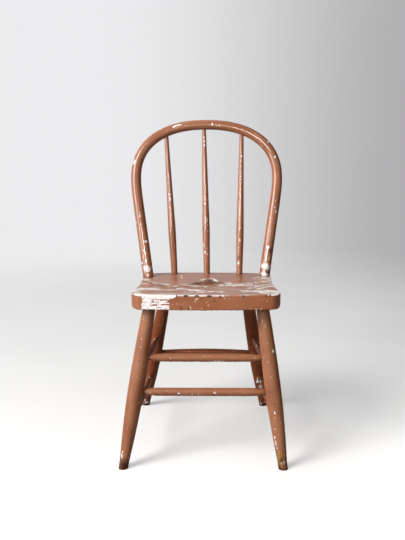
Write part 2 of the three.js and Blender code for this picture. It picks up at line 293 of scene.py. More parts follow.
class Placing:
    """Turns places on the chair, in millimetres, into the part's frame in metres."""

    def __init__(self) -> None:
        """Works out the tilt of the seat and of the bow."""
        tilt = math.radians(SEAT.fall)
        self.cos, self.sin = math.cos(tilt), math.sin(tilt)
        lowest_front = (SEAT.thickness - SEAT.ease) * self.sin * MM
        self.front_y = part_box("seat")[0].y + lowest_front
        lean = math.radians(BACK.lean)
        self.lean_cos, self.lean_sin = math.cos(lean), math.sin(lean)
        self.bow_from_front = SEAT.depth - BACK.from_rear

    def on_seat(self, local: np.ndarray) -> np.ndarray:
        """Moves points of the seat's own frame (x, y behind the front, z above the top).

        Args:
            local: Rows of (x, y, z) in millimetres.

        Returns:
            The same places in metres.
        """
        x, y, z = np.moveaxis(np.asarray(local, float), -1, 0)
        placed = [x, y * self.cos + z * self.sin, SEAT.height - y * self.sin + z * self.cos]
        return np.stack(placed, -1) * MM + [0.0, self.front_y, 0.0]

    def on_bow(self, plane: np.ndarray) -> np.ndarray:
        """Moves points of the bow's leaning plane (x, height above the seat).

        Args:
            plane: Rows of (x, height) in millimetres.

        Returns:
            The same places in metres.
        """
        x, height = np.moveaxis(np.asarray(plane, float), -1, 0)
        foot = self.on_seat(np.array([0.0, self.bow_from_front, 0.0]))
        return foot + np.stack([x, height * self.lean_sin, height * self.lean_cos], -1) * MM


PLACE = Placing()


# Wear, told as marks on a piece


class Layer(Enum):
    """What shows where the brown paint is gone or covered."""

    UNDERCOAT = "peel"
    WOOD = "bare"
    CRUMBS = "crumbs"
    NICK = "nick"
    HAZE = "haze"
    GRIME = "grime"
    BRUISE = "bruise"


@dataclass(frozen=True)
class Mark:
    """One worn spot on a round piece.

    at is the distance along the piece, turn the angle from the side that faces forward, and length
    and width are the spot's sizes along and across the piece.
    """

    at: float
    turn: float
    length: float
    width: float
    layer: Layer = Layer.UNDERCOAT


def spots(*rows: tuple[float, float, float, float], layer: Layer = Layer.UNDERCOAT) -> tuple[Mark, ...]:
    """One mark for each row of (at, turn, length, width)."""
    return tuple(Mark(*row, layer) for row in rows)


@dataclass
class Wear:
    """The wear fields of one mesh: 0.5 is the edge of a worn spot, and 1 its middle."""

    fields: dict[Layer, Field]
    relief: Field
    speckle: Field

    @classmethod
    def fresh(cls, count: int) -> "Wear":
        """Fields of a surface with no wear at all."""
        return cls({layer: np.zeros(count) for layer in Layer}, np.zeros(count), np.ones(count))

    def raise_to(self, layer: Layer, values: Field) -> None:
        """Keeps the stronger of the present field and the given one."""
        self.fields[layer] = np.maximum(self.fields[layer], values)

    def step(self, layer: Layer, low: float = 0.4, high: float = 0.6) -> Field:
        """Smooth step across the edge of a layer's worn spots."""
        return ramp(self.fields[layer], low, high)


# Materials


@dataclass(frozen=True)
class PaintFinish:
    """The old brown paint and what lies under it. Sizes of its grain are in metres."""

    name: str
    body: Colour
    shade: Colour
    light: Colour
    roughness: float
    shine: float
    seed: float
    undercoat: Colour = (0.90, 0.88, 0.86)
    cream: Colour = (0.76, 0.60, 0.40)
    bare: Colour = (0.30, 0.135, 0.042)
    umber: Colour = (0.050, 0.022, 0.011)
    crumbs: Colour = (0.30, 0.19, 0.105)
    haze: Colour = (0.72, 0.65, 0.60)
    grime: Colour = (0.050, 0.015, 0.005)
    bruise: Colour = (0.022, 0.007, 0.009)
    dimple: float = 0.12
    ragged: float = 0.5
    brush: float = 0.10
    speck_share: float = 0.35


class Graph:
    """Short-hand for making and linking the nodes of one tree."""

    def __init__(self, tree: bpy.types.NodeTree) -> None:
        """Takes the tree to work on."""
        self.tree = tree

    def add(self, kind: str, inputs: dict | None = None, output: int | str = 0, **settings: object) -> Socket:
        """Adds a node, sets and links its inputs, and returns one of its outputs.

        Args:
            kind: Blender's name of the node type.
            inputs: Values or sockets by input name or number.
            output: Which output to return.
            settings: Properties of the node itself.

        Returns:
            The chosen output, or the node itself where it has none.
        """
        node = self.tree.nodes.new(kind)
        for key, value in settings.items():
            setattr(node, key, value)
        for key, value in (inputs or {}).items():
            if isinstance(value, bpy.types.NodeSocket):
                self.tree.links.new(value, node.inputs[key])
            else:
                node.inputs[key].default_value = value
        return node.outputs[output] if len(node.outputs) else node

    def math(self, operation: str, a: object, b: object) -> Socket:
        """One sum on two numbers."""
        return self.add("ShaderNodeMath", {0: a, 1: b}, operation=operation)

    def times(self, a: object, b: object, clamp: bool = False) -> Socket:
        """Product of two numbers, kept in 0 to 1 if asked."""
        return self.add("ShaderNodeMath", {0: a, 1: b}, operation="MULTIPLY", use_clamp=clamp)

    def scaled(self, value: object, factor: object, addend: object = 0.0) -> Socket:
        """A value times a factor, plus an addend."""
        return self.add("ShaderNodeMath", {0: value, 1: factor, 2: addend}, operation="MULTIPLY_ADD")

    def noise(self, vector: object, size: float, detail: float = 3.0, roughness: float = 0.55) -> Socket:
        """Noise in about 0 to 1 with features of a size in metres."""
        inputs = {"Vector": vector, "Scale": 1.0 / size, "Detail": detail, "Roughness": roughness}
        return self.add("ShaderNodeTexNoise", inputs)

    def edge(self, value: object, low: float, high: float) -> Socket:
        """Smooth step from 0 at low to 1 at high."""
        inputs = {"Value": value, "From Min": low, "From Max": high}
        return self.add("ShaderNodeMapRange", inputs, interpolation_type="SMOOTHSTEP")

    def mix(self, share: object, a: object, b: object) -> Socket:
        """Mixes two colours.

        Args:
            share: How much of b is taken.
            a, b: Colours or sockets.

        Returns:
            The mixed colour.
        """
        as_colour = lambda c: (*c, 1.0) if isinstance(c, tuple) and len(c) == 3 else c
        inputs = {0: share, 6: as_colour(a), 7: as_colour(b)}
        return self.add("ShaderNodeMix", inputs, output=2, data_type="RGBA")

    def blend(self, share: object, a: object, b: object) -> Socket:
        """Mixes two numbers."""
        return self.add("ShaderNodeMix", {0: share, 2: a, 3: b}, output=0, data_type="FLOAT")


def empty_tree(owner: bpy.types.Material | bpy.types.World) -> Graph:
    """Gives a material or a world an empty node tree.

    Args:
        owner: Whose tree is emptied.

    Returns:
        Short-hand for that tree.
    """
    owner.use_nodes = True
    owner.node_tree.nodes.clear()
    return Graph(owner.node_tree)


def link_new(name: str, data: bpy.types.ID) -> bpy.types.Object:
    """Adds an object with its data to the scene.

    Args:
        name: Name of the object.
        data: Its mesh, light or camera.

    Returns:
        The new object.
    """
    thing = bpy.data.objects.new(name, data)
    bpy.context.scene.collection.objects.link(thing)
    return thing


class PaintMaterial:
    """Builds the paint's node tree from a finish."""

    SPECK_SPACING = 0.0085  # metres
    SPECK_REACH = 0.085  # largest radius, as a share of the spacing

    def __init__(self, finish: PaintFinish) -> None:
        """Makes the material.

        Args:
            finish: Colours and surface of the paint.
        """
        self.finish = finish
        self.material = bpy.data.materials.new(finish.name)
        self.g = empty_tree(self.material)
        self.build()

    def attribute(self, name: str, output: str = "Fac") -> Socket:
        """Reads one of the mesh's own attributes."""
        return self.g.add("ShaderNodeAttribute", output=output, attribute_name=name)

    def worn(self, layer: Layer, edge_noise: object, softness: float = 0.035) -> Socket:
        """Sharp ragged share of one layer from its soft field.

        Args:
            layer: Layer whose field is read.
            edge_noise: Noise that makes the edge ragged.
            softness: Half of the edge's width in the field.

        Returns:
            0 where the layer is absent and 1 where it shows.
        """
        shift = self.g.math("SUBTRACT", edge_noise, 0.5)
        ragged = self.g.scaled(shift, self.finish.ragged, self.attribute(layer.value))
        return self.g.edge(ragged, 0.5 - softness, 0.5 + softness)

    def specks(self, vector: object) -> Socket:
        """Tiny cream dots where the top coat has let go in pin points.

        Args:
            vector: Place on the piece.

        Returns:
            1 inside a speck, and 0 elsewhere.
        """
        g = self.g
        distance = g.add("ShaderNodeTexVoronoi", {"Vector": vector, "Scale": 1.0 / self.SPECK_SPACING})
        chance = g.add("ShaderNodeSeparateColor", {0: distance.node.outputs["Color"]})
        chosen = g.math("GREATER_THAN", chance, 1.0 - self.finish.speck_share)
        size = g.times(chance.node.outputs[1], self.SPECK_REACH)
        return g.times(chosen, g.math("LESS_THAN", distance, size))

    def build(self) -> None:
        """Makes the whole tree."""
        g, f = self.g, self.finish
        self.grain = self.attribute("grain", "Vector")
        stretch = {"Vector": self.grain, "Location": (f.seed, 0, 0), "Scale": (0.16, 1, 1)}
        along = g.add("ShaderNodeMapping", stretch)
        self.fine = g.noise(self.grain, 0.0017, 3)
        self.streak = g.noise(along, 0.0026, 4, 0.6)
        self.mottle = g.noise(along, 0.011, 5, 0.6)
        self.pits = g.edge(g.noise(self.grain, 0.0032, 1), 0.73, 0.78)
        edge_noise = g.edge(g.math("ADD", self.fine, self.streak), 0.66, 1.34)
        peel = self.worn(Layer.UNDERCOAT, edge_noise)
        specks = g.math("MAXIMUM", self.specks(self.grain), self.worn(Layer.NICK, edge_noise, 0.08))
        bare = self.worn(Layer.WOOD, edge_noise)
        crumbs = self.worn(Layer.CRUMBS, edge_noise, 0.09)
        haze_noise = g.scaled(g.edge(self.streak, 0.32, 0.68), 0.75, 0.25)
        haze = g.times(self.attribute(Layer.HAZE.value), haze_noise, clamp=True)
        grime_noise = g.math("ADD", g.edge(self.mottle, 0.25, 0.75), 0.45)
        grime = g.times(self.attribute(Layer.GRIME.value), grime_noise, clamp=True)
        grime = g.times(grime, g.math("SUBTRACT", 1.0, g.times(bare, 0.75)))
        colour = g.mix(haze, self.top_coat(), f.haze)
        colour = g.mix(crumbs, colour, self.crumbled())
        colour = g.mix(specks, colour, f.cream)
        colour = g.mix(bare, colour, self.wood())
        colour = g.mix(peel, colour, self.undercoat())
        colour = g.mix(grime, colour, f.grime)
        colour = g.mix(self.worn(Layer.BRUISE, edge_noise, 0.08), colour, f.bruise)
        roughness = g.blend(haze, g.scaled(self.mottle, 0.16, f.roughness - 0.08), 0.5)
        worn = g.math("MAXIMUM", g.math("MAXIMUM", peel, bare), crumbs)
        inputs = {"Base Color": colour, "Roughness": g.blend(worn, roughness, 0.68)}
        inputs |= {"Normal": self.bump(peel, bare, crumbs), "IOR": 1.5, "Specular IOR Level": f.shine}
        g.add("ShaderNodeOutputMaterial", {"Surface": g.add("ShaderNodeBsdfPrincipled", inputs)})

    def top_coat(self) -> Socket:
        """Colour of the sound brown paint, mottled, gritty and pitted.

        Returns:
            The colour.
        """
        g, f = self.g, self.finish
        brown = g.mix(g.edge(g.noise(self.grain, 0.06, 2), 0.3, 0.7), f.shade, f.body)
        brown = g.mix(g.times(g.edge(self.mottle, 0.42, 0.75), 0.55), brown, f.light)
        brown = g.mix(g.times(g.edge(g.noise(self.grain, 0.0021, 2), 0.48, 0.66), 0.45), brown, f.shade)
        return g.mix(g.times(self.pits, 0.55), brown, f.umber)

    def undercoat(self) -> Socket:
        """Colour of the white coat under the brown one, yellowed in places.

        Returns:
            The colour.
        """
        g, f = self.g, self.finish
        under = g.mix(g.times(g.edge(self.mottle, 0.45, 0.8), 0.55), f.undercoat, f.cream)
        return g.mix(g.times(g.edge(self.fine, 0.62, 0.74), 0.3), under, f.light)

    def wood(self) -> Socket:
        """Colour of the bare wood, with remains of dirt and of both coats.

        Returns:
            The colour.
        """
        g, f = self.g, self.finish
        clods = g.noise(g.add("ShaderNodeMapping", {"Vector": self.grain, "Scale": (1, 0.6, 1)}), 0.011, 4, 0.66)
        wood = g.mix(g.edge(g.blend(0.3, clods, self.streak), 0.46, 0.56), f.umber, f.bare)
        wood = g.mix(g.edge(clods, 0.56, 0.62), wood, f.crumbs)
        return g.mix(g.edge(clods, 0.63, 0.68), wood, f.cream)

    def crumbled(self) -> Socket:
        """Colour of paint that has broken up into crumbs.

        Returns:
            The colour.
        """
        g, f = self.g, self.finish
        crumbled = g.mix(g.edge(self.fine, 0.38, 0.62), f.crumbs, f.shade)
        return g.mix(g.edge(g.noise(self.grain, 0.0035, 2), 0.56, 0.66), crumbled, f.cream)

    def bump(self, peel: object, bare: object, crumbs: object) -> Socket:
        """Fine relief: sunk chips, crumbs, brush marks, skin, dimples and pits.

        Args:
            peel, bare, crumbs: Shares of the three worn layers.

        Returns:
            The bent normal.
        """
        g, f = self.g, self.finish
        height = g.times(g.math("ADD", peel, bare), -0.35)
        rises = (
            (g.times(crumbs, self.fine), 0.6), (self.streak, f.brush), (g.noise(self.grain, 0.0009, 1), 0.07),
            (g.noise(self.grain, 0.0030, 1), f.dimple), (self.mottle, 0.12), (self.pits, -0.12),
        )
        for value, share in rises:
            height = g.scaled(value, share, height)
        return g.add("ShaderNodeBump", {"Height": height, "Distance": 0.001, "Strength": 0.75})


def plain_coat(name: str, low: Colour, high: Colour, roughness: float, size: float) -> bpy.types.Material:
    """A simple mottled material for the small loose bits.

    Args:
        name: The material's name.
        low, high: The two colours that it varies between.
        roughness: Roughness of the whole surface.
        size: Size of its mottling in metres.

    Returns:
        The new material.
    """
    material = bpy.data.materials.new(name)
    g = empty_tree(material)
    place = g.add("ShaderNodeTexCoord", output="Object")
    colour = g.mix(g.edge(g.noise(place, size, 2), 0.35, 0.65), low, high)
    bump = g.add("ShaderNodeBump", {"Height": g.noise(place, size / 8, 2), "Distance": 0.0004, "Strength": 0.6})
    shader = g.add("ShaderNodeBsdfPrincipled", {"Base Color": colour, "Roughness": roughness, "Normal": bump})
    g.add("ShaderNodeOutputMaterial", {"Surface": shader})
    return material


# Meshes


@dataclass
class Shell:
    """Points, faces and wear of one closed surface before it becomes a Blender mesh."""

    points: np.ndarray
    normals: np.ndarray
    grain: np.ndarray
    faces: list
    wear: Wear

    LIFT_AT, LIFT_WIDTH, LIFT_FROM = 0.42, 0.1, 0.2  # where along a chip's field flakes stand

    def make(self, name: str, material: bpy.types.Material, sharp: float = 40.0) -> bpy.types.Object:
        """Makes the piece, pushed out along its normals by its relief.

        Args:
            name: Name of the piece.
            material: Its finish.
            sharp: Degrees from which an edge stays sharp.

        Returns:
            The new object.
        """
        moved = self.points + self.normals * (self.wear.relief * MM)[:, None]
        moved[:, 2] = np.maximum(moved[:, 2], 0.0)
        mesh = bpy.data.meshes.new(name)
        mesh.from_pydata(moved.tolist(), [], self.faces)
        mesh.validate()
        mesh.polygons.foreach_set("use_smooth", np.ones(len(mesh.polygons), bool))
        mesh.set_sharp_from_angle(angle=math.radians(sharp))
        for layer, values in self.wear.fields.items():
            self.store(mesh, layer.value, values)
        self.store(mesh, "speckle", self.wear.speckle)
        peel = self.wear.fields[Layer.UNDERCOAT]
        self.store(mesh, "lift", bell(peel, self.LIFT_AT, self.LIFT_WIDTH) * (peel > self.LIFT_FROM))
        grain = mesh.attributes.new("grain", "FLOAT_VECTOR", "POINT")
        grain.data.foreach_set("vector", self.grain.astype(np.float32).ravel())
        mesh.materials.append(material)
        return link_new(name, mesh)

    @staticmethod
    def store(mesh: bpy.types.Mesh, name: str, values: Field) -> None:
        """Writes one number for each point."""
        attribute = mesh.attributes.new(name, "FLOAT", "POINT")
        attribute.data.foreach_set("value", values.astype(np.float32))


@dataclass
class Rod:
    """A round piece, straight or bent, told by its middle line and its diameter.

    Attributes:
        line: Points of the middle line in metres.
        diameter: Gives millimetres of thickness for millimetres along the line.
        sides: Points in each ring.
        spacing: Millimetres from ring to ring.
        seed: Number of the piece's own noise.
        lumps: Height of the lumps of old paint in millimetres.
        marks: The worn spots that are placed one by one.
        wear_more: Adds the wear that is spread by noise.
        facing: The direction in which an angle of 0 looks.
        start_cut: A point and a normal of the plane that the start is cut by, or None.
        sag: Height in millimetres of the drips of paint on the underside.
    """

    line: np.ndarray
    diameter: Callable[[Field], Field]
    sides: int
    spacing: float
    seed: int
    lumps: float
    marks: tuple[Mark, ...]
    wear_more: Callable[["Rod", Wear, Field, Field, np.ndarray], None]
    facing: Sequence[float] = (0.0, -1.0, 0.0)
    start_cut: tuple[np.ndarray, np.ndarray] | None = None
    sag: float = 0.0

    PROBE = 2.0  # millimetres to each side over which the direction is taken
    CUT_REACH = 30.0  # millimetres over which the slant of the cut start fades
    SEED_STEP = 0.37  # metres between the grain of two pieces
    MARK_TRIM = 0.7  # millimetres that the ragged edge adds to a mark
    LEAST_MARK = 1.9
    NICK_SIZE = 4.2  # smaller marks are nicks
    PEEL_DEPTH, WOOD_DEPTH, NICK_DEPTH = 0.22, 0.25, 0.12  # millimetres, as are the next two heights
    BRUSH_HEIGHT = 0.08
    SINK = 0.04
    LUMP_SHARE = 1.6

    def __post_init__(self) -> None:
        """Measures the distances along the line."""
        gaps = np.linalg.norm(np.diff(self.line, axis=0), axis=1)
        self.distances = np.concatenate([[0.0], np.cumsum(gaps)]) / MM
        self.length = float(self.distances[-1])

    def at(self, distance: Field) -> tuple[np.ndarray, np.ndarray]:
        """Middle point and direction of the line at distances in millimetres.

        Args:
            distance: Millimetres along the line, or beyond its ends.

        Returns:
            Points in metres, and directions of length one.
        """
        take = lambda d: np.stack([np.interp(d, self.distances, self.line[:, i]) for i in range(3)], -1)
        inside = np.clip(distance, 0.0, self.length)
        beyond = distance - inside
        ahead = take(np.minimum(inside + self.PROBE, self.length))
        behind = take(np.maximum(inside - self.PROBE, 0.0))
        along = unit(ahead - behind)
        return take(distance) + along * (beyond * MM)[..., None], along

    def around(self, along: np.ndarray) -> tuple[np.ndarray, np.ndarray]:
        """Two directions square to the line. The first one looks forward.

        Args:
            along: Directions of the line.

        Returns:
            The forward and the sideways directions.
        """
        front = np.asarray(self.facing, float)
        forward = unit(front - (along @ front)[..., None] * along)
        return forward, np.cross(along, forward)

    def shell(self) -> Shell:
        """Rings along the line, with wear and relief worked out for each point.

        Returns:
            The closed surface.
        """
        count = int(round(self.length / self.spacing))
        turns = np.linspace(0.0, 4 * QUARTER, self.sides, endpoint=False)
        distance = np.repeat(np.linspace(0.0, self.length, count + 1)[:, None], self.sides, 1)
        if self.start_cut is not None:
            distance = distance + self.cut_shift(turns) * np.clip(1.0 - distance / self.CUT_REACH, 0.0, 1.0)
        middle, along = self.at(distance)
        u, v = self.around(along)
        angle = np.broadcast_to(turns, distance.shape)
        outward = u * np.cos(angle)[..., None] + v * np.sin(angle)[..., None]
        radius = self.diameter(distance) / 2
        points = middle + outward * (radius * MM)[..., None]
        shift = [self.seed * self.SEED_STEP, 0.0, 0.0]
        grain = in_metres(distance, radius * np.cos(angle), radius * np.sin(angle)) + shift
        flat = lambda a: a.reshape(-1, *a.shape[2:])
        wear = Wear.fresh(distance.size)
        self.add_marks(wear, distance.ravel(), angle.ravel(), radius.ravel())
        self.wear_more(self, wear, distance.ravel(), angle.ravel(), flat(points))
        self.add_relief(wear, flat(grain), flat(outward))
        wear.speckle *= ramp(flat(points)[:, 2] / MM, 3.0, 8.0)
        faces = self.faces(count)
        ends = np.stack([middle[0].mean(0), middle[-1].mean(0)])
        end_normals = np.stack([-along[0, 0], along[-1, 0]])
        points = np.vstack([flat(points), ends])
        normals = np.vstack([flat(outward), end_normals])
        end_grain = in_metres(np.array([distance[0].mean(), distance[-1].mean()]))
        grain = np.vstack([flat(grain), end_grain + shift])
        for layer in Layer:
            values = wear.fields[layer]
            wear.fields[layer] = np.append(values, [values[: self.sides].mean(), values[-self.sides :].mean()])
        wear.relief = np.append(wear.relief, [0.0, 0.0])
        wear.speckle = np.append(wear.speckle, [0.0, 0.0])
        return Shell(points, normals, grain, faces, wear)

    def cut_shift(self, turns: np.ndarray) -> Field:
        """How far along the line each side of the start lies on the cutting plane.

        Args:
            turns: Angles round the rod.

        Returns:
            Millimetres, one for each angle.
        """
        point, normal = self.start_cut
        middle, along = self.at(np.zeros(1))
        u, v = self.around(along)
        radius = float(self.diameter(np.zeros(1))[0]) / 2 * MM
        rim = middle + radius * (np.cos(turns)[:, None] * u + np.sin(turns)[:, None] * v)
        return -((rim - point) @ normal) / (along[0] @ normal) / MM

    def add_marks(self, wear: Wear, distance: Field, angle: Field, radius: Field) -> None:
        """Raises each layer's field around its marks.

        Args:
            wear: Fields to add to.
            distance, angle: Place of each point along and round the rod.
            radius: Millimetres from the line.
        """
        for mark in self.marks:
            length, width = (max(size - self.MARK_TRIM, self.LEAST_MARK) for size in (mark.length, mark.width))
            off = angle - math.radians(mark.turn)
            off = np.arctan2(np.sin(off), np.cos(off))
            away = np.hypot((distance - mark.at) / (length / 2), off * radius / (width / 2))
            small = mark.layer is Layer.UNDERCOAT and max(mark.length, mark.width) < self.NICK_SIZE
            wear.raise_to(Layer.NICK if small else mark.layer, spot(away, 1.0, 0.92))

    def add_relief(self, wear: Wear, grain: np.ndarray, outward: np.ndarray) -> None:
        """Works out the lumps of old paint, the brush marks, the chips and the sags.

        Args:
            wear: Fields to add to.
            grain: Places in the rod's straightened frame.
            outward: Directions away from the line.
        """
        lumps = cloudy(grain * [0.45, 1, 1], 0.010, self.seed) - 0.5
        brush = smooth_noise(grain * [0.06, 1, 1], 0.0028, self.seed + 5) - 0.5
        chips = wear.step(Layer.UNDERCOAT) * self.PEEL_DEPTH + wear.step(Layer.WOOD) * self.WOOD_DEPTH
        chips = chips + wear.step(Layer.NICK) * self.NICK_DEPTH
        coat = (lumps - 0.5) * self.lumps * self.LUMP_SHARE + brush * self.BRUSH_HEIGHT
        wear.relief = coat - chips - self.SINK
        if self.sag:
            drips = ramp(cloudy(grain * [1, 0.6, 0.6], 0.0055, self.seed + 9, 2), 0.5, 0.85)
            wear.relief += self.sag * drips * ramp(-outward[:, 2], 0.55, 0.98)

    def faces(self, count: int) -> list:
        """Quads between the rings and a fan at each end.

        Args:
            count: How many gaps there are between rings.

        Returns:
            Faces as lists of point numbers.
        """
        sides = self.sides
        ring = np.arange(count)[:, None] * sides
        here, beside = np.arange(sides), (np.arange(sides) + 1) % sides
        quads = np.stack([ring + here, ring + beside, ring + sides + beside, ring + sides + here], -1)
        start, last = (count + 1) * sides, count * sides
        pairs = list(zip(here.tolist(), beside.tolist()))
        fans = [[start, b, a] for a, b in pairs] + [[start + 1, last + a, last + b] for a, b in pairs]
        return quads.reshape(-1, 4).tolist() + fans


@dataclass(frozen=True)
class Stroke:
    """One worn band on the seat's top, along a line of (x, y behind the front).

    half is half of its width in millimetres, and strength its highest value.
    """

    path: tuple[tuple[float, float], ...]
    half: float
    strength: float
    layer: Layer = Layer.UNDERCOAT

    def value(self, x: Field, y: Field) -> Field:
        """The band's field: its strength on the line, and half of that at its edges.

        Args:
            x, y: Places on the seat's top in millimetres.

        Returns:
            One value for each place.
        """
        away = np.full(x.shape, np.inf)
        for (ax, ay), (bx, by) in zip(self.path, self.path[1:]):
            t = np.clip(((x - ax) * (bx - ax) + (y - ay) * (by - ay)) / ((bx - ax) ** 2 + (by - ay) ** 2), 0, 1)
            away = np.minimum(away, np.hypot(x - ax - t * (bx - ax), y - ay - t * (by - ay)))
        return self.strength * spot(away, self.half, 1.0)


class SeatPlank:
    """The seat: a fine top and front, a rolled rim and a plain underside."""

    SEED = 31
    SPACING = 1.7  # millimetres from point to point on the top and the rim
    UNDER_SPACING = 7.0
    MARGIN = 0.7  # share of the spacing that stays free inside the rim
    CORNER_STEPS, END_STEPS, SIDE_STEPS = 24, 60, 120
    ROLL_RINGS, FACE_RINGS = 5, 25
    GRAIN_SHIFT = 3.1  # metres, away from the grain of the rods
    PEEL_DEPTH, WOOD_DEPTH = 0.22, 0.45  # millimetres, as are the heights
    LUMP_HEIGHT, SKIN_HEIGHT, STREAK_HEIGHT = 0.3, 0.14, 0.12
    CRUMB_HEIGHT = LIP_HEIGHT = 0.9
    # Places below are x, y behind the front, and z above the top, each with a size
    PATCH_ENDS = (-127.3, -70.0)
    PATCH_STREAKS = (-6.0, -9.6, -13.2, -16.6, -20.2, -23.6)
    RIM_BRUISES = ((-57, 1.8), (-37.5, 7.7), (-17.6, 4.6), (7, 6.2), (28, 1.4), (74, 1.5), (119, 2.4), (127, 1.6))
    NICK_STRETCH = 2.2
    TOP_NICKS = ((-57.8, 254.6, 3.0), (-56.6, 223.1, 3.4), (-68.5, 242.3, 2.2))
    FACE_NICKS = (
        (-19.3, -9.0, 1.7), (-16.0, -7.4, 1.2), (-21.5, -12.4, 1.2), (1.3, -14.3, 1.1),
        (-47.8, -19.8, 1.2), (-30.7, -23.7, 1.4), (-29.5, -27.5, 1.1), (4.2, -21.1, 1.4),
        (6.0, -18.6, 1.0), (36.9, -6.8, 1.2), (88.4, -28.1, 1.3), (108.4, -28.4, 1.4),
        (99.0, -29.0, 1.1), (-8.0, -27.0, 1.1), (62.0, -21.0, 1.0), (120.5, -13.0, 1.0),
    )
    FACE_STAINS = ((-48.8, -25.5, 2.3), (16.5, -11.6, 1.9), (-33.0, -25.6, 1.5))
    LIP = Stroke(((-10, 188), (-2, 200), (8, 212), (16, 206), (21, 192), (24, 172)), 4.6, 0.76)
    STROKES = (
        Stroke(
            ((-128, 156), (-111, 129), (-96, 108), (-84, 87), (-68, 80), (-55, 98), (-41, 116), (-28, 133)),
            7, 0.86, Layer.CRUMBS,
        ),
        Stroke(((-48, 101), (-37, 91), (-23, 83), (-9, 88), (3, 103), (15, 112)), 8, 0.8, Layer.CRUMBS),
        Stroke(((-26, 130), (-8, 122), (8, 124), (22, 132), (38, 140)), 9, 0.85, Layer.CRUMBS),
        Stroke(((-23, 141), (-16, 150), (-8, 146), (-14, 132)), 9, 0.95, Layer.WOOD),
        Stroke(((0, 158), (9, 178), (17, 172), (15, 150), (6, 142)), 12, 0.95, Layer.WOOD),
        Stroke(((24, 141), (31, 158), (38, 154)), 4.5, 0.8, Layer.WOOD), LIP,
        Stroke(((-112, 137), (-103, 142), (-92, 138), (-83, 128)), 7, 0.66),
        Stroke(((-78, 100), (-69, 105), (-60, 110)), 5, 0.66),
        Stroke(((-49, 119), (-38, 117), (-27, 109), (-15, 105), (-2, 97)), 6, 0.68),
        Stroke(((30, 116), (36, 126), (44, 124)), 7, 0.66),
        Stroke(((42, 99), (46, 125), (50, 147), (53, 166)), 4, 0.66),
        Stroke(((43, 153), (48, 136), (54, 120), (58, 109)), 5, 0.66),
        Stroke(((58, 115), (67, 128), (74, 131), (83, 126)), 5, 0.57),
        Stroke(((89, 131), (90, 147), (95, 156), (98, 148), (98, 133)), 3.0, 0.62),
        Stroke(((90, 84), (103, 102), (117, 121), (130, 131), (143, 137)), 8, 0.62),
        Stroke(((100, 62), (116, 84), (129, 100), (141, 110)), 7, 0.62),
        Stroke(((77, 49), (86, 52), (96, 48), (108, 51)), 7, 0.76),
        Stroke(((110, 49), (120, 54), (130, 49), (142, 52), (146, 35)), 12, 0.86),
        Stroke(((115, 30), (127, 21), (136, 14), (144, 20)), 8, 0.86),
        Stroke(((114, 159), (126, 170), (138, 182), (146, 199)), 9, 0.66),
        Stroke(((121, 206), (130, 218), (140, 214)), 7, 0.72),
        Stroke(((-146, 60), (-134, 71), (-123, 76), (-110, 71), (-97, 64)), 9, 0.78),
        Stroke(((-146, 45), (-142, 33), (-134, 22), (-127, 13)), 8, 0.8),
        Stroke(((-60, 79), (-54, 77), (-43, 72), (-29, 60), (-19, 58), (-5, 53)), 8, 0.66),
        Stroke(((-45, 38), (-25, 33), (-2, 38), (15, 43), (32, 39)), 8, 0.6),
        Stroke(((112, 228), (122, 238), (134, 236), (141, 226)), 6, 0.80),
        Stroke(((118, 190), (132, 205), (141, 212)), 5, 0.70),
        Stroke(((45, 53), (59, 58), (73, 61)), 5, 0.54),
        Stroke(((-139, 191), (-128, 179), (-120, 162), (-111, 145)), 8, 0.6),
        Stroke(((-143, 212), (-134, 205), (-126, 196)), 5, 0.62),
        Stroke(((-82, 62), (-70, 58), (-60, 62)), 6, 0.62),
    )

    def __init__(self) -> None:
        """Works out the outline and the directions that point inwards."""
        self.rim = self.outline()
        ahead, behind = np.roll(self.rim, -1, 0), np.roll(self.rim, 1, 0)
        along = unit(ahead - behind)
        self.inward = np.stack([-along[:, 1], along[:, 0]], -1)

    def outline(self) -> np.ndarray:
        """Plan of the plank as evenly spaced points, run anticlockwise seen from above.

        Returns:
            Rows of (x, y) in millimetres.
        """
        flat = SEAT.width / 2 - SEAT.front_corner
        side_start = float(SEAT.front_edge(flat)) + SEAT.front_corner
        side_end = SEAT.depth - SEAT.rear_bowing - SEAT.rear_corner
        rear_flat = float(SEAT.half_width(np.array(side_end))) - SEAT.rear_corner
        turn = np.linspace(0, QUARTER, self.CORNER_STEPS)
        front_x, rear_x = np.linspace(0, flat, self.END_STEPS), np.linspace(rear_flat, 0, self.END_STEPS)
        side_y = np.linspace(side_start, side_end, self.SIDE_STEPS)
        half = lambda y: float(SEAT.half_width(np.array(y)))

        def corner(a: tuple[float, float], b: tuple[float, float]) -> np.ndarray:
            """A quarter of an ellipse from a to b."""
            across, behind = (b[0] - a[0]) * np.sin(turn), (b[1] - a[1]) * (1 - np.cos(turn))
            return np.stack([a[0] + across, a[1] + behind], -1)

        right = np.vstack([
            np.stack([front_x, SEAT.front_edge(front_x)], -1)[:-1],
            corner((flat, SEAT.front_edge(flat)), (half(side_start), side_start))[:-1],
            np.stack([SEAT.half_width(side_y), side_y], -1)[:-1],
            corner((rear_flat, SEAT.rear_edge(rear_flat)), (half(side_end), side_end))[::-1][:-1],
            np.stack([rear_x, SEAT.rear_edge(rear_x)], -1),
        ])
        left = right[1:-1][::-1] * [-1, 1]
        loop = np.vstack([right, left, right[:1]])
        gaps = np.concatenate([[0], np.cumsum(np.linalg.norm(np.diff(loop, axis=0), axis=1))])
        wanted = np.linspace(0, gaps[-1], int(gaps[-1] / self.SPACING), endpoint=False)
        return np.stack([np.interp(wanted, gaps, loop[:, i]) for i in range(2)], -1)

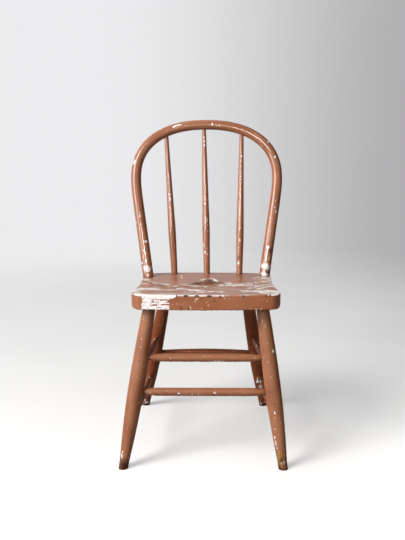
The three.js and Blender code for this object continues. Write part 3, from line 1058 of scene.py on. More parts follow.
    def profile(self) -> list[tuple[float, float]]:
        """Inset and height of each ring, from the top's rim down to the underside's.

        Returns:
            Pairs in millimetres.
        """
        ease, depth = SEAT.ease, SEAT.thickness
        roll = np.linspace(0, QUARTER, self.ROLL_RINGS)
        over = [(ease * (1 - math.sin(a)), -ease * (1 - math.cos(a))) for a in roll]
        face = [(0.0, -z) for z in np.linspace(ease, depth - ease, self.FACE_RINGS)[1:-1]]
        under = [(ease * (1 - math.cos(a)), -depth + ease * (1 - math.sin(a))) for a in roll]
        return over + face + under

    def ring(self, inset: float, height: float) -> np.ndarray:
        """One loop round the plank, kept inside the rounded lower side edges.

        Args:
            inset: Millimetres inwards from the outline.
            height: Millimetres above the top.

        Returns:
            Rows of (x, y, z) in millimetres.
        """
        loop = self.rim + self.inward * inset
        below = SEAT.thickness - SEAT.undercut + height
        if below < 0:
            limit = SEAT.width / 2 - SEAT.undercut + math.sqrt(max(0.0, SEAT.undercut**2 - below**2))
            loop[:, 0] = np.clip(loop[:, 0], -limit, limit)
        return np.column_stack([loop, np.full(len(loop), height)])

    def lid(self, rim: np.ndarray, spacing: float) -> tuple[np.ndarray, list]:
        """Fills a loop with even triangles. The loop's points come first.

        Args:
            rim: The loop to fill.
            spacing: Millimetres between inner points.

        Returns:
            Rows of (x, y), and faces as lists of point numbers.
        """
        xs = np.arange(-SEAT.width / 2, SEAT.width / 2, spacing)
        ys = np.arange(0, SEAT.depth, spacing)
        inner = np.stack(np.meshgrid(xs + spacing / 2, ys + spacing / 2, indexing="ij"), -1).reshape(-1, 2)
        low, high = self.reach(inner[:, 0], rim, spacing * self.MARGIN)
        inner = inner[(inner[:, 1] > low) & (inner[:, 1] < high)]
        side = np.interp(inner[:, 1], *self.widths(rim))
        inner = inner[np.abs(inner[:, 0]) < side - spacing * self.MARGIN]
        points = np.vstack([rim[:, :2], inner])
        edges = [(i, (i + 1) % len(rim)) for i in range(len(rim))]
        found = delaunay_2d_cdt([Vector(p) for p in points.tolist()], edges, [], 1, 1e-7)
        flat = np.array([tuple(p) for p in found[0]])
        if len(flat) != len(points):
            raise ValueError("the seat's lid gained or lost points")
        return flat, [list(face) for face in found[2]]

    @staticmethod
    def reach(x: Field, rim: np.ndarray, margin: float) -> tuple[Field, Field]:
        """Front and rear limits of the lid at each x.

        Args:
            x: Millimetres to the right of the middle.
            rim: The lid's loop.
            margin: Millimetres that stay free.

        Returns:
            The front and the rear limit.
        """
        middle = SEAT.depth / 2
        front, rear = rim[rim[:, 1] < middle], rim[rim[:, 1] >= middle]
        front, rear = front[np.argsort(front[:, 0])], rear[np.argsort(rear[:, 0])]
        low = np.interp(x, front[:, 0], front[:, 1], left=1e6, right=1e6)
        high = np.interp(x, rear[:, 0], rear[:, 1], left=-1e6, right=-1e6)
        return low + margin, high - margin

    @staticmethod
    def widths(rim: np.ndarray) -> tuple[Field, Field]:
        """Half width of the lid by distance behind the front edge.

        Args:
            rim: The lid's loop.

        Returns:
            Distances, and the half width at each.
        """
        right = rim[rim[:, 0] > 0]
        right = right[np.argsort(right[:, 1])]
        return right[:, 1], right[:, 0]

    def shell(self) -> Shell:
        """Puts the lid, the rim's rings and the underside together.

        Returns:
            The closed surface.
        """
        profile = self.profile()
        rings = [self.ring(inset, height) for inset, height in profile]
        size = len(self.rim)
        top, top_faces = self.lid(rings[0], self.SPACING)
        base, base_faces = self.lid(rings[-1], self.UNDER_SPACING)
        inner_top = np.column_stack([top[size:], np.zeros(len(top) - size)])
        inner_base = np.column_stack([base[size:], np.full(len(base) - size, -SEAT.thickness)])
        local = np.vstack([*rings, inner_top, inner_base])
        count = len(rings)
        offset_top, offset_base = (count - 1) * size, (count - 1) * size + len(inner_top)
        lift = lambda i: int(i if i < size else i + offset_top)
        drop = lambda i: int(i + offset_top if i < size else i + offset_base)
        faces = [[lift(i) for i in face] for face in top_faces]
        faces += [[drop(i) for i in reversed(face)] for face in base_faces]
        ring = np.arange(count - 1)[:, None] * size
        here, beside = np.arange(size), (np.arange(size) + 1) % size
        quads = np.stack([ring + here, ring + size + here, ring + size + beside, ring + beside], -1)
        faces += quads.reshape(-1, 4).tolist()
        normals = np.zeros_like(local)
        for i, (inset, height) in enumerate(profile):
            up = self.tilt(inset, height)
            side = -self.inward * math.sqrt(max(0.0, 1 - up * up))
            normals[i * size : (i + 1) * size] = np.column_stack([side, np.full(size, up)])
        normals[count * size : count * size + len(inner_top)] = [0, 0, 1]
        normals[count * size + len(inner_top) :] = [0, 0, -1]
        wear = self.wear(local)
        turned = PLACE.on_seat(normals / MM) - PLACE.on_seat(np.zeros(3))
        return Shell(PLACE.on_seat(local), unit(turned), local * MM + [self.GRAIN_SHIFT, 0, 0], faces, wear)

    @staticmethod
    def tilt(inset: float, height: float) -> float:
        """Upward part of the normal on the rolled rim."""
        share = inset / SEAT.ease
        return share if height > -SEAT.thickness / 2 else -share

    def wear(self, local: np.ndarray) -> Wear:
        """All wear of the seat by place: (x, y behind the front, z above the top).

        Args:
            local: Rows of (x, y, z) in millimetres.

        Returns:
            The wear of every point.
        """
        x, y, z = local.T
        wear = Wear.fresh(len(local))
        coarse = cloudy(local * [0.16, 1, 1] * MM, 0.011, self.SEED, 4)
        streaks = cloudy(local * [0.16, 1, 1] * MM, 0.012, self.SEED + 3, 3)
        blots = cloudy(local * [0.5, 1, 1] * MM, 0.018, self.SEED + 7, 3)
        top = ramp(z, -3.2, -0.6)
        front = ramp(-y, -14.0, -11.0) * (1 - top)
        from_front = y - SEAT.front_edge(x)
        from_side = SEAT.half_width(y) - np.abs(x)
        self.face_patch(wear, x, z, front, coarse)
        self.front_rim(wear, x, from_front, z, coarse)
        self.worn_top(wear, x, y, from_front, from_side, top, streaks, blots)
        self.face_spots(wear, x, z, front)
        self.hidden_rims(wear, local, from_side, coarse)
        lumps = cloudy(local * [0.3, 1, 1] * MM, 0.016, self.SEED + 11) - 1.0
        skin = cloudy(local * MM, 0.0042, self.SEED + 15, 2) - 1.0
        chips = wear.step(Layer.UNDERCOAT, 0.42, 0.58) * self.PEEL_DEPTH
        chips = chips + wear.step(Layer.WOOD, 0.42, 0.58) * self.WOOD_DEPTH
        drips = ramp(cloudy(local * [1, 0.5, 0.5] * MM, 0.0055, self.SEED + 13, 2), 0.42, 0.8) * bell(z, -31.0, 2.4)
        crumbs = wear.step(Layer.CRUMBS, 0.3) * cloudy(local * MM, 0.0045, self.SEED + 17, 2)
        coat = lumps * self.LUMP_HEIGHT + skin * self.SKIN_HEIGHT + (streaks - 1.0) * self.STREAK_HEIGHT * top
        wear.relief = coat - chips + drips * front + self.CRUMB_HEIGHT * crumbs
        wear.relief += self.LIP_HEIGHT * ramp(self.LIP.value(x, y), 0.3, 0.7) * top
        wear.speckle = np.where(top > 0.5, 0.5, 1.0) * (z > -29.5)
        return wear

    def face_patch(self, wear: Wear, x: Field, z: Field, front: Field, coarse: Field) -> None:
        """The big white patch at the left of the front face, with brown streaks left in it.

        Args:
            wear: Fields to add to.
            x: Millimetres to the right of the middle.
            z: Millimetres above the top.
            front: 1 on the front face.
            coarse: Coarse noise along the grain.
        """
        left, right = self.PATCH_ENDS
        right_edge = right + 8.0 * ramp(z, -11.0, -4.0) + 14.0 * (coarse - 0.5)
        left_edge = left + 3.0 * (coarse - 0.5)
        inside = np.minimum((x - left_edge) * 2, right_edge - x)
        fine = cloudy(in_metres(x * 0.20, z), 0.0021, 91, 2)
        patch = np.clip(0.5 + inside / 7.0, 0.0, 0.72)
        waver = z + 2.4 * (cloudy(in_metres(x), 0.016, 95, 2) - 0.5)
        gaps = sum(bell(waver, height, 0.7) for height in self.PATCH_STREAKS)
        patch = patch - 0.17 * gaps - 0.36 * ramp(fine, 0.53, 0.62) * (0.45 + 0.55 * ramp(x, -118.0, -92.0))
        low = np.clip(0.5 + np.minimum(inside + 2, -26.5 - z) / 3.0, 0, 0.82)
        high = np.clip(0.5 + np.minimum(inside + 1, z + 8.0) / 4.0, 0, 0.74) - 0.22 * bell(waver, -3.6, 0.8)
        wear.raise_to(Layer.UNDERCOAT, np.maximum.reduce([patch, low, high]) * front)

    def front_rim(self, wear: Wear, x: Field, from_front: Field, z: Field, coarse: Field) -> None:
        """White along the top front edge, broken by dark bruises.

        Args:
            wear: Fields to add to.
            x: Millimetres to the right of the middle.
            from_front: Millimetres behind the front edge.
            z: Millimetres above the top.
            coarse: Coarse noise along the grain.
        """
        rim = bell(z, -0.9, 1.8) * ramp(-from_front, -7.0, -2.0)
        reach = ramp(-x, -52.0, -30.0) + 0.85 * ramp(x, 112.0, 128.0) + ramp(-x, 120.0, 135.0)
        wear.raise_to(Layer.UNDERCOAT, np.clip(rim * reach * (0.66 + 0.9 * (coarse - 0.45)), 0, 0.9))
        bits = cloudy(in_metres(x), 0.005, 93, 2)
        dents = sum(np.clip(1.3 - np.abs(x - place) / size, 0, 1) for place, size in self.RIM_BRUISES)
        sway = z + 3.0 * (cloudy(in_metres(x, z), 0.004, 97, 2) - 0.5)
        dark = np.clip(dents, 0, 1) * bell(sway, -2.4, 2.0) * ramp(-from_front, -4.0, -1.5) * ramp(bits, 0.26, 0.38)
        wear.fields[Layer.UNDERCOAT] *= 1.0 - ramp(dark, 0.15, 0.4)
        wear.raise_to(Layer.BRUISE, np.clip(dark * 1.25, 0, 0.78))

    def worn_top(
        self, wear: Wear, x: Field, y: Field, from_front: Field, from_side: Field,
        top: Field, streaks: Field, blots: Field,
    ) -> None:
        """Milky bands along the grain, chips and the bare, crumbled middle.

        Args:
            wear: Fields to add to.
            x, y: Places on the top in millimetres.
            from_front: Millimetres behind the front edge.
            from_side: Millimetres inside the side edge.
            top: 1 on the top.
            streaks, blots: Two noises along the grain.
        """
        wobble = 9.0 * (blots - 0.5)
        bits = cloudy(in_metres(x * 0.8, y), 0.0085, self.SEED + 21, 3) - 0.5
        for stroke in self.STROKES:
            value = stroke.value(x + wobble, y + wobble)
            wear.raise_to(stroke.layer, np.clip(value + bits * ramp(value, 0.2, 0.5), 0, 1) * top)
        front_band = 0.8 * bell(from_front, 42.0, 34.0) + 0.5 * bell(from_front, 4.0, 16.0)
        right_band = 0.9 * ramp(x, 78.0, 118.0) * (1 - ramp(y, 215.0, 250.0))
        left_band = 0.8 * ramp(-x, 104.0, 132.0) * (1 - ramp(y, 150.0, 230.0))
        middle_band = 0.55 * bell(y, 118.0, 46.0) * ramp(x, -8.0, 50.0) + 0.45 * bell(y, 100.0, 50.0)
        milk = np.clip(np.maximum.reduce([front_band, right_band, left_band, middle_band]), 0, 1)
        haze = milk * (0.10 + 0.92 * ramp(streaks, 0.42, 0.68)) + 0.05 * blots
        wear.raise_to(Layer.HAZE, np.clip(haze, 0, 1) * top)
        flecks = 0.52 * milk * ramp(streaks, 0.50, 0.68) + 0.5 * bits * milk
        edge = 0.60 * bell(from_front, 1.5, 3.6) * ramp(-x, -48.0, -20.0)
        wear.raise_to(Layer.UNDERCOAT, np.clip(np.maximum(flecks, edge), 0, 0.9) * top)
        rub = np.clip(0.74 - from_side / 26.0, 0, 0.68) * ramp(x, 0, 40.0) * ramp(streaks, 0.30, 0.50)
        wear.raise_to(Layer.UNDERCOAT, rub * top * (y < 235))
        for place, behind, size in self.TOP_NICKS:
            away = np.hypot(x - place, (y - behind) / self.NICK_STRETCH)
            wear.raise_to(Layer.NICK, spot(away, size, 0.9) * top)

    def face_spots(self, wear: Wear, x: Field, z: Field, front: Field) -> None:
        """Cream nicks and a few dark stains scattered over the front face.

        Args:
            wear: Fields to add to.
            x: Millimetres to the right of the middle.
            z: Millimetres above the top.
            front: 1 on the front face.
        """
        for place, height, size in self.FACE_NICKS:
            wear.raise_to(Layer.NICK, spot(np.hypot(x - place, z - height), size, 0.9) * front)
        for place, height, size in self.FACE_STAINS:
            wear.raise_to(Layer.GRIME, 0.85 * bell(np.hypot(x - place, z - height), size, 0.9) * front)

    @staticmethod
    def hidden_rims(wear: Wear, local: np.ndarray, from_side: Field, coarse: Field) -> None:
        """Light rubbing on the side and rear edges, and dust and shade below.

        Args:
            wear: Fields to add to.
            local: Rows of (x, y, z) in millimetres.
            from_side: Millimetres inside the side edge.
            coarse: Coarse noise along the grain.
        """
        x, y, z = local.T
        near_top = bell(z, -0.8, 1.8)
        rim = near_top * ramp(-from_side, -7.0, -1.0)
        wear.raise_to(Layer.UNDERCOAT, 0.72 * rim * ramp(coarse, 0.50, 0.62))
        rear = near_top * ramp(y - SEAT.rear_edge(x), -6.0, -1.0)
        wear.raise_to(Layer.UNDERCOAT, 0.7 * rear * ramp(coarse, 0.54, 0.66))
        low = bell(z, -27.5, 3.0) * ramp(coarse, 0.60, 0.7)
        wear.raise_to(Layer.UNDERCOAT, 0.66 * low)
        wear.raise_to(Layer.GRIME, 0.45 * ramp(-z, 29.6, 30.8) * ramp(coarse, 0.3, 0.7))


# Small bits that Geometry Nodes spread over a surface


@dataclass(frozen=True)
class Bits:
    """How many small bits lie on a surface and how large they are, in metres."""

    name: str
    density: float
    smallest: float
    largest: float
    attribute: str
    seed: int
    thickness: float
    curl: float = 0.0


class Scatter:
    """A Geometry Nodes tree that spreads chips or curled flakes over a mesh."""

    INPUTS = {
        "Density": "NodeSocketFloat", "Seed": "NodeSocketInt",
        "Smallest": "NodeSocketFloat", "Largest": "NodeSocketFloat",
    }
    CORNERS = {"Vertices X": 5, "Vertices Y": 4, "Vertices Z": 2}
    FACES_OF_BIT = 38.0  # of a box with these corners
    FACES_BELOW = 12.0
    SHEET = (1.0, 0.72)
    RAGGED = (0.85, 0.75, 0.0)  # how far noise shifts the corners
    SPIN = (0.0, 0.0, 6.283)
    SEEDS = 97  # names give seeds below this number

    def __init__(self, bits: Bits, upper: bpy.types.Material, lower: bpy.types.Material) -> None:
        """Builds the tree with its named inputs.

        Args:
            bits: Number and sizes of the bits.
            upper, lower: Finishes of a bit's two sides.
        """
        self.bits, self.upper, self.lower = bits, upper, lower
        self.tree = bpy.data.node_groups.new(bits.name, "GeometryNodeTree")
        self.tree.interface.new_socket("Surface", in_out="INPUT", socket_type="NodeSocketGeometry")
        self.keys = {name: self.socket(name, kind) for name, kind in self.INPUTS.items()}
        self.tree.interface.new_socket("Bits", in_out="OUTPUT", socket_type="NodeSocketGeometry")
        self.g = Graph(self.tree)
        self.build()

    def socket(self, name: str, kind: str) -> str:
        """Adds a named input and returns its identifier."""
        return self.tree.interface.new_socket(name, in_out="INPUT", socket_type=kind).identifier

    def flake(self) -> Socket:
        """One thin bit of unit size, ragged at its edge and curled if asked.

        Returns:
            The bit's geometry.
        """
        g, bits = self.g, self.bits
        sheet = g.add("GeometryNodeMeshCube", {"Size": (*self.SHEET, bits.thickness), **self.CORNERS})
        place = g.add("GeometryNodeInputPosition")
        along = g.add("ShaderNodeSeparateXYZ", {0: place})
        ragged = g.add("ShaderNodeTexNoise", {"Vector": place, "Scale": 2.3, "Detail": 2.0}, output="Color")
        shift = g.add("ShaderNodeVectorMath", {0: ragged, 1: (0.5, 0.5, 0.5)}, operation="SUBTRACT")
        shift = g.add("ShaderNodeVectorMath", {0: shift, 1: self.RAGGED}, operation="MULTIPLY")
        rise = g.times(g.math("POWER", g.math("ADD", along, 0.5), 2.0), bits.curl)
        rise = g.math("ADD", rise, bits.thickness * 0.3)
        lift = g.add("ShaderNodeCombineXYZ", {"Z": rise})
        offset = g.add("ShaderNodeVectorMath", {0: shift, 1: lift}, operation="ADD")
        return g.add("GeometryNodeSetPosition", {"Geometry": sheet, "Offset": offset})

    def build(self) -> None:
        """Makes the whole tree."""
        g = self.g
        given = self.tree.nodes.new("NodeGroupInput")
        attribute = {"Name": self.bits.attribute}
        share = g.add("GeometryNodeInputNamedAttribute", attribute, output="Attribute", data_type="FLOAT")
        density = g.times(given.outputs["Density"], share)
        points = g.add(
            "GeometryNodeDistributePointsOnFaces",
            {"Mesh": given.outputs["Surface"], "Density": density, "Seed": given.outputs["Seed"]},
            output="Points",
        )
        spin = {0: (0.0, 0.0, 0.0), 1: self.SPIN, "Seed": given.outputs["Seed"]}
        spin = g.add("FunctionNodeRandomValue", spin, data_type="FLOAT_VECTOR")
        spin = {0: points.node.outputs["Rotation"], 1: g.add("FunctionNodeEulerToRotation", {0: spin})}
        rotation = g.add("FunctionNodeRotateRotation", spin, rotation_space="LOCAL")
        size = g.add(
            "FunctionNodeRandomValue",
            {2: given.outputs["Smallest"], 3: given.outputs["Largest"], "Seed": given.outputs["Seed"]},
            output=1,
            data_type="FLOAT",
        )
        placed = g.add(
            "GeometryNodeInstanceOnPoints",
            {"Points": points, "Instance": self.flake(), "Rotation": rotation, "Scale": size},
        )
        real = g.add("GeometryNodeRealizeInstances", {"Geometry": placed})
        coated = g.add("GeometryNodeSetMaterial", {"Geometry": real, "Material": self.upper})
        if self.lower is not self.upper:
            turn = g.math("MODULO", g.add("GeometryNodeInputIndex"), self.FACES_OF_BIT)
            below = g.math("LESS_THAN", turn, self.FACES_BELOW)
            below = {"Geometry": coated, "Selection": below, "Material": self.lower}
            coated = g.add("GeometryNodeSetMaterial", below)
        g.add("NodeGroupOutput", {"Bits": coated})

    def spread_on(self, surface: bpy.types.Object, name: str) -> bpy.types.Object:
        """Runs the tree on a surface and keeps the result as a plain mesh.

        Args:
            surface: The piece whose mesh carries the density attribute.
            name: Name of the new piece.

        Returns:
            The new piece.
        """
        host = link_new(name + "_host", surface.data.copy())
        modifier = host.modifiers.new("spread", "NODES")
        modifier.node_group = self.tree
        bits, seed = self.bits, self.bits.seed + sum(map(ord, name)) % self.SEEDS
        for key, value in zip(self.keys.values(), (bits.density, seed, bits.smallest, bits.largest)):
            modifier[key] = value
        graph = bpy.context.evaluated_depsgraph_get()
        mesh = bpy.data.meshes.new_from_object(host.evaluated_get(graph))
        bpy.data.objects.remove(host)
        mesh.name = name
        LOG.info("%s: %d faces of small bits", name, len(mesh.polygons))
        return link_new(name, mesh)


# Sub-assemblies


class Assembly:
    """Keeps the pieces of one part of the chair and fits them to the frame."""

    def __init__(self, material: bpy.types.Material, other: bpy.types.Material | None = None) -> None:
        """Takes the finish of the main pieces, and that of the other ones."""
        self.material, self.other = material, other
        self.pieces: list[bpy.types.Object] = []

    def keep(self, piece: bpy.types.Object, *nodes: str) -> bpy.types.Object:
        """Lets a piece ride on the chair and stand for its node.

        Args:
            piece: The finished piece.
            nodes: Nodes of the solids that it stands for.

        Returns:
            The same piece.
        """
        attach(piece, ROOT)
        if nodes:
            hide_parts(*nodes)
        self.pieces.append(piece)
        LOG.info("%s: %d faces", piece.name, len(piece.data.polygons))
        return piece

    def rod(self, node: str, rod: Rod, material: bpy.types.Material) -> None:
        """Makes a round piece and lets it stand for its node."""
        self.keep(rod.shell().make(node + "_painted", material), node)


def grimy_ends(start: float, end: float, reach: float) -> Callable:
    """Gives a function that adds grime where a rod enters its neighbours.

    Args:
        start, end: Distances in millimetres at which the rod leaves its two sockets.
        reach: How far the grime spreads.

    Returns:
        A function that a rod takes as wear_more.
    """

    def add(rod: Rod, wear: Wear, distance: Field, angle: Field, points: np.ndarray) -> None:
        """Adds the grime, and light wear on the far side.

        Args:
            rod: The rod that is worn.
            wear: Fields to add to.
            distance: Millimetres along the rod.
            angle: Angle from the side that faces forward.
            points: Places in metres.
        """
        near = np.maximum(bell(distance, start, reach), bell(distance, end, reach))
        broken = cloudy(points, 0.006, rod.seed + 3, 2)
        wear.raise_to(Layer.GRIME, np.clip(near * (0.2 + 0.6 * broken), 0, 0.7))
        random_chips(rod, wear, angle, points)

    return add


def random_chips(rod: Rod, wear: Wear, angle: Field, points: np.ndarray) -> None:
    """Light wear on the sides that the viewer in front can't see.

    Args:
        rod: The rod that is worn.
        wear: Fields to add to.
        angle: Angle from the side that faces forward.
        points: Places in metres.
    """
    hidden = ramp(-np.cos(angle), 0.15, 0.6)
    patches = cloudy(points, 0.009, rod.seed + 41, 3)
    wear.raise_to(Layer.UNDERCOAT, np.clip((patches - 0.70) * 5.0, 0, 0.8) * hidden)


class Seat(Assembly):
    """The plank with all its wear."""

    def build(self) -> None:
        """Makes the seat."""
        self.keep(SeatPlank().shell().make("seat_painted", self.material, sharp=60.0), "seat")


class Back(Assembly):
    """The bow and its three spindles, which have a finish of their own."""

    GAP_UNDER_BOW = 0.3  # millimetres, as are the two lengths of spindle that don't show
    SPINDLE_BELOW = 4.0
    SPINDLE_INSIDE = 5.0
    STRAIGHT_SHARE, UPRIGHT_SHARE = 0.65, 0.87  # heights of the side's two middle knots, as shares of its shoulder
    SIDE_STEPS, CROWN_STEPS = 121, 141
    BOW_MARKS = (
        *spots(
            (666.6, 38, 14, 6), (534.5, 17, 24, 3.6), (543.0, 10, 6, 4.5), (571.5, 46, 3.6, 3),
            (452.9, -5, 4.4, 7), (442.6, -24, 3, 3), (436.8, -16, 6, 2.8), (350.3, 12, 3.4, 2.6),
            (343.7, 14, 3, 2.6), (336.7, 13, 3.4, 2.6), (330.7, 12, 3, 2.6), (324.0, 16, 2.6, 2.4),
            (315.9, 36, 7, 5), (279.1, 7, 6, 5), (329.1, -41, 3.6, 3), (322.7, -49, 3.4, 3),
            (316.8, -51, 2.8, 2.6), (784.3, -1, 7, 2.4), (793.7, 1, 6, 2.4), (812.0, 1, 3.6, 3),
            (805.5, 59, 6, 2.6), (822.0, 20, 3, 2.4), (175.9, 4, 3.5, 2.8), (160.6, 4, 4.6, 3.2),
            (154.5, -23, 2.6, 2.4), (150.7, 21, 7, 3.4), (156.8, -59, 2.6, 2.4), (150.1, -42, 2.6, 2.4),
            (135.6, -35, 3.4, 2.4), (104.4, -11, 3.4, 3), (852.9, -26, 7, 8), (863.2, -17, 3.6, 3.4),
            (873.0, 8, 6, 4.4), (880.0, -8, 4, 3), (888.0, 33, 4, 3.4), (914.5, 2, 16, 17.5),
            (78.8, -64, 2.8, 2.6), (67.1, -8, 9, 8), (57.0, -12, 14, 3.2), (46.0, -13, 20, 3.6),
            (38.0, -14, 14, 3.2), (22.7, -12, 14, 21), (18.0, 20, 9, 5), (3.0, -12, 11, 21),
            (200.0, 170, 16, 7), (880.0, 175, 14, 8), (30.0, 160, 16, 9), (470.0, 178, 20, 6),
            (620.0, 120, 9, 5), (300.0, 140, 12, 6), (466.0, 92, 9, 5), (740.0, 200, 8, 4),
        ),
        *spots((46.0, 24, 26, 5), layer=Layer.CRUMBS),
        *spots((14.0, 18, 6, 6), (925.0, 20, 5, 9), layer=Layer.WOOD),
        *spots((60.0, 26, 12, 6), (9.0, 34, 8, 6), layer=Layer.GRIME),
    )
    CENTRE_MARKS = (
        *spots(
            (319.0, -4, 4.8, 3.6), (310.4, 2, 5.2, 3.6), (300.6, 2, 4.8, 3.6), (190.8, 41, 2.6, 2.4),
            (165.1, -8, 7, 3), (157.0, -16, 3, 2.4), (125.0, 22, 9.4, 2.4), (114.6, 27, 4.6, 2.4),
            (99.8, 28, 4.6, 2.6), (67.7, -50, 9.4, 2.4), (51.2, -25, 7, 4.6), (45.5, 13, 4.6, 3.2),
            (84.0, 5, 3.4, 2.4), (30.0, -8, 3, 2.4), (240.0, 8, 2.6, 2.4), (140.0, 170, 9, 4),
            (60.0, 200, 7, 4),
        ),
        *spots((37.9, -60, 3, 2.6), layer=Layer.WOOD),
    )
    LEFT_MARKS = spots(
        (186.7, 2, 5.8, 3.4), (176.4, 1, 11.6, 3.6), (153.6, 17, 3.4, 2.6), (138.9, 7, 3.4, 2.6),
        (102.0, -20, 3, 2.4), (64.0, 26, 3, 2.4), (230.0, -12, 2.6, 2.4), (120.0, 190, 8, 4),
        (30.0, 160, 8, 4),
    )
    RIGHT_MARKS = (
        *spots(
            (285.5, -1, 3.4, 2.6), (275.3, -1, 4.6, 3.2), (263.7, -6, 3.4, 2.6), (252.0, 0, 3.4, 2.6),
            (240.5, -1, 3.0, 2.4), (235.0, 4, 5, 2.4), (228.0, -2, 6, 2.6), (221.5, 0, 4, 2.4),
            (214.0, 2, 3, 2.4), (126.7, -1, 3.4, 3), (108.2, 4, 3.4, 2.4), (79.8, -3, 7, 4.6),
            (62.1, -26, 3.4, 3.2), (52.0, -24, 4, 2.6), (25.4, -19, 9.4, 4.4), (190.0, 180, 10, 4),
            (90.0, 150, 7, 4),
        ),
        *spots((38.6, -20, 7, 4.6), layer=Layer.GRIME),
    )

    def bow_line(self) -> np.ndarray:
        """Middle line of the bow from the right foot over the crown to the left foot.

        Returns:
            Points in metres.
        """
        half_foot = float(SEAT.half_width(np.array(PLACE.bow_from_front))) - BACK.from_side
        half = half_foot + BACK.bulge
        straight = self.STRAIGHT_SHARE * BACK.shoulder
        knots = np.array([
            (half_foot, 0.0),
            (half_foot + math.tan(math.radians(BACK.splay)) * straight, straight),
            (half, self.UPRIGHT_SHARE * BACK.shoulder),
            (half, BACK.shoulder),
        ])
        t = np.linspace(0, 1, self.SIDE_STEPS)[:, None]
        side = sum(math.comb(3, i) * (1 - t) ** (3 - i) * t**i * knot for i, knot in enumerate(knots))
        turn = np.linspace(0, QUARTER, self.CROWN_STEPS)[1:]
        power = 2 / BACK.fullness
        rise = BACK.height - BACK.shoulder
        across = half * np.clip(np.cos(turn), 0, 1) ** power
        crown = np.stack([across, BACK.shoulder + rise * np.sin(turn) ** power], -1)
        crown[-1, 0] = 0.0
        right = np.vstack([side, crown])
        return PLACE.on_bow(np.vstack([right, right[:-1][::-1] * [-1, 1]]))

    def bow_diameter(self, length: float) -> Callable[[Field], Field]:
        """The bow slims from its feet to its crown."""
        slim = BACK.crown_diameter - BACK.foot_diameter
        return lambda distance: BACK.foot_diameter + slim * (1 - np.abs(2 * np.clip(distance / length, 0, 1) - 1))

    def bow_wear(self, rod: Rod, wear: Wear, distance: Field, angle: Field, points: np.ndarray) -> None:
        """Dirt and patches of old coats at the bow's feet.

        Args:
            rod: The rod that is worn.
            wear: Fields to add to.
            distance: Millimetres along the rod.
            angle: Angle from the side that faces forward.
            points: Places in metres.
        """
        from_foot = np.minimum(distance, rod.length - distance)
        broken = cloudy(points, 0.007, 77, 3)
        dirt = 0.55 * bell(from_foot, 0.0, 2.6) + 0.3 * bell(from_foot, 8, 9) * ramp(broken, 0.4, 0.7)
        wear.raise_to(Layer.GRIME, np.clip(dirt, 0, 0.95))
        low = np.clip((broken - 0.60) * 4.5, 0, 0.75) * ramp(-from_foot, -95.0, -25.0)
        wear.raise_to(Layer.UNDERCOAT, 0.9 * low)
        random_chips(rod, wear, angle, points)

    def spindle(self, row: int) -> np.ndarray:
        """Ends of one spindle's middle line, on the seat and inside the bow.

        Args:
            row: -1, 0 or 1 from left to right.

        Returns:
            The two ends in metres.
        """
        x = BACK.drift_at_seat + row * BACK.spacing_at_seat
        base = PLACE.on_seat(np.array([x, SEAT.rear_edge(x) - BACK.spindle_from_rear, 0.0]))
        half = float(SEAT.half_width(np.array(PLACE.bow_from_front))) - BACK.from_side + BACK.bulge
        x_bow = BACK.drift_at_bow + row * BACK.spacing_at_bow
        share = (1 - abs(x_bow / half) ** BACK.fullness) ** (1 / BACK.fullness)
        top = PLACE.on_bow(np.array([x_bow, BACK.shoulder + (BACK.height - BACK.shoulder) * share]))
        return np.stack([base, top])

    def spindle_diameter(self, visible: float) -> Callable[[Field], Field]:
        """A spindle swells above its foot and thins to its top.

        Args:
            visible: Millimetres of spindle between the seat and the bow.

        Returns:
            A function from millimetres above the seat to thickness.
        """

        def diameter(distance: Field) -> Field:
            """Millimetres of thickness at a distance above the seat.

            Args:
                distance: Millimetres above the seat.

            Returns:
                Millimetres of thickness.
            """
            low = np.sin(np.clip(distance / BACK.spindle_swell_height, 0, 1) * QUARTER) ** 2
            left = np.clip(1 - (distance - BACK.spindle_swell_height) / (visible - BACK.spindle_swell_height), 0, 1)
            below = BACK.spindle_foot + low * (BACK.spindle_swell - BACK.spindle_foot)
            above = BACK.spindle_top + left**1.1 * (BACK.spindle_swell - BACK.spindle_top)
            return np.where(distance < BACK.spindle_swell_height, below, above)

        return diameter

    def build(self) -> None:
        """Makes the bow and the spindles."""
        line = self.bow_line()
        length = float(np.linalg.norm(np.diff(line, axis=0), axis=1).sum()) / MM
        lift = PLACE.on_seat(np.array([0.0, 0.0, self.GAP_UNDER_BOW]))
        normal = unit(PLACE.on_seat(np.array([0.0, 0.0, 1.0])) - PLACE.on_seat(np.zeros(3)))
        bow = BowRod(
            line, self.bow_diameter(length), sides=56, spacing=1.3, seed=11, lumps=0.22, marks=self.BOW_MARKS,
            wear_more=self.bow_wear, facing=(0.0, -PLACE.lean_cos, PLACE.lean_sin), start_cut=(lift, normal),
        )
        self.rod("bow", bow, self.material)
        below = self.SPINDLE_BELOW
        marks_by_side = {"left": self.LEFT_MARKS, "center": self.CENTRE_MARKS, "right": self.RIGHT_MARKS}
        for row, (side, marks) in enumerate(marks_by_side.items(), -1):
            base, top = self.spindle(row)
            visible = float(np.linalg.norm(top - base)) / MM - BACK.crown_diameter / 2
            along = unit(top - base)
            shape = self.spindle_diameter(visible)
            rod = Rod(
                np.stack([base - along * below * MM, top - along * self.SPINDLE_INSIDE * MM]),
                lambda distance, shape=shape: shape(distance - below), sides=40, spacing=1.15, seed=21 + row,
                lumps=0.12, marks=shifted(marks, below), wear_more=grimy_ends(below, visible + below, 2.4),
            )
            self.rod("spindle_" + side, rod, self.other)


def shifted(marks: Sequence[Mark], distance: float) -> tuple[Mark, ...]:
    """Moves marks along a piece that starts below its visible end."""
    return tuple(replace(mark, at=mark.at + distance) for mark in marks)


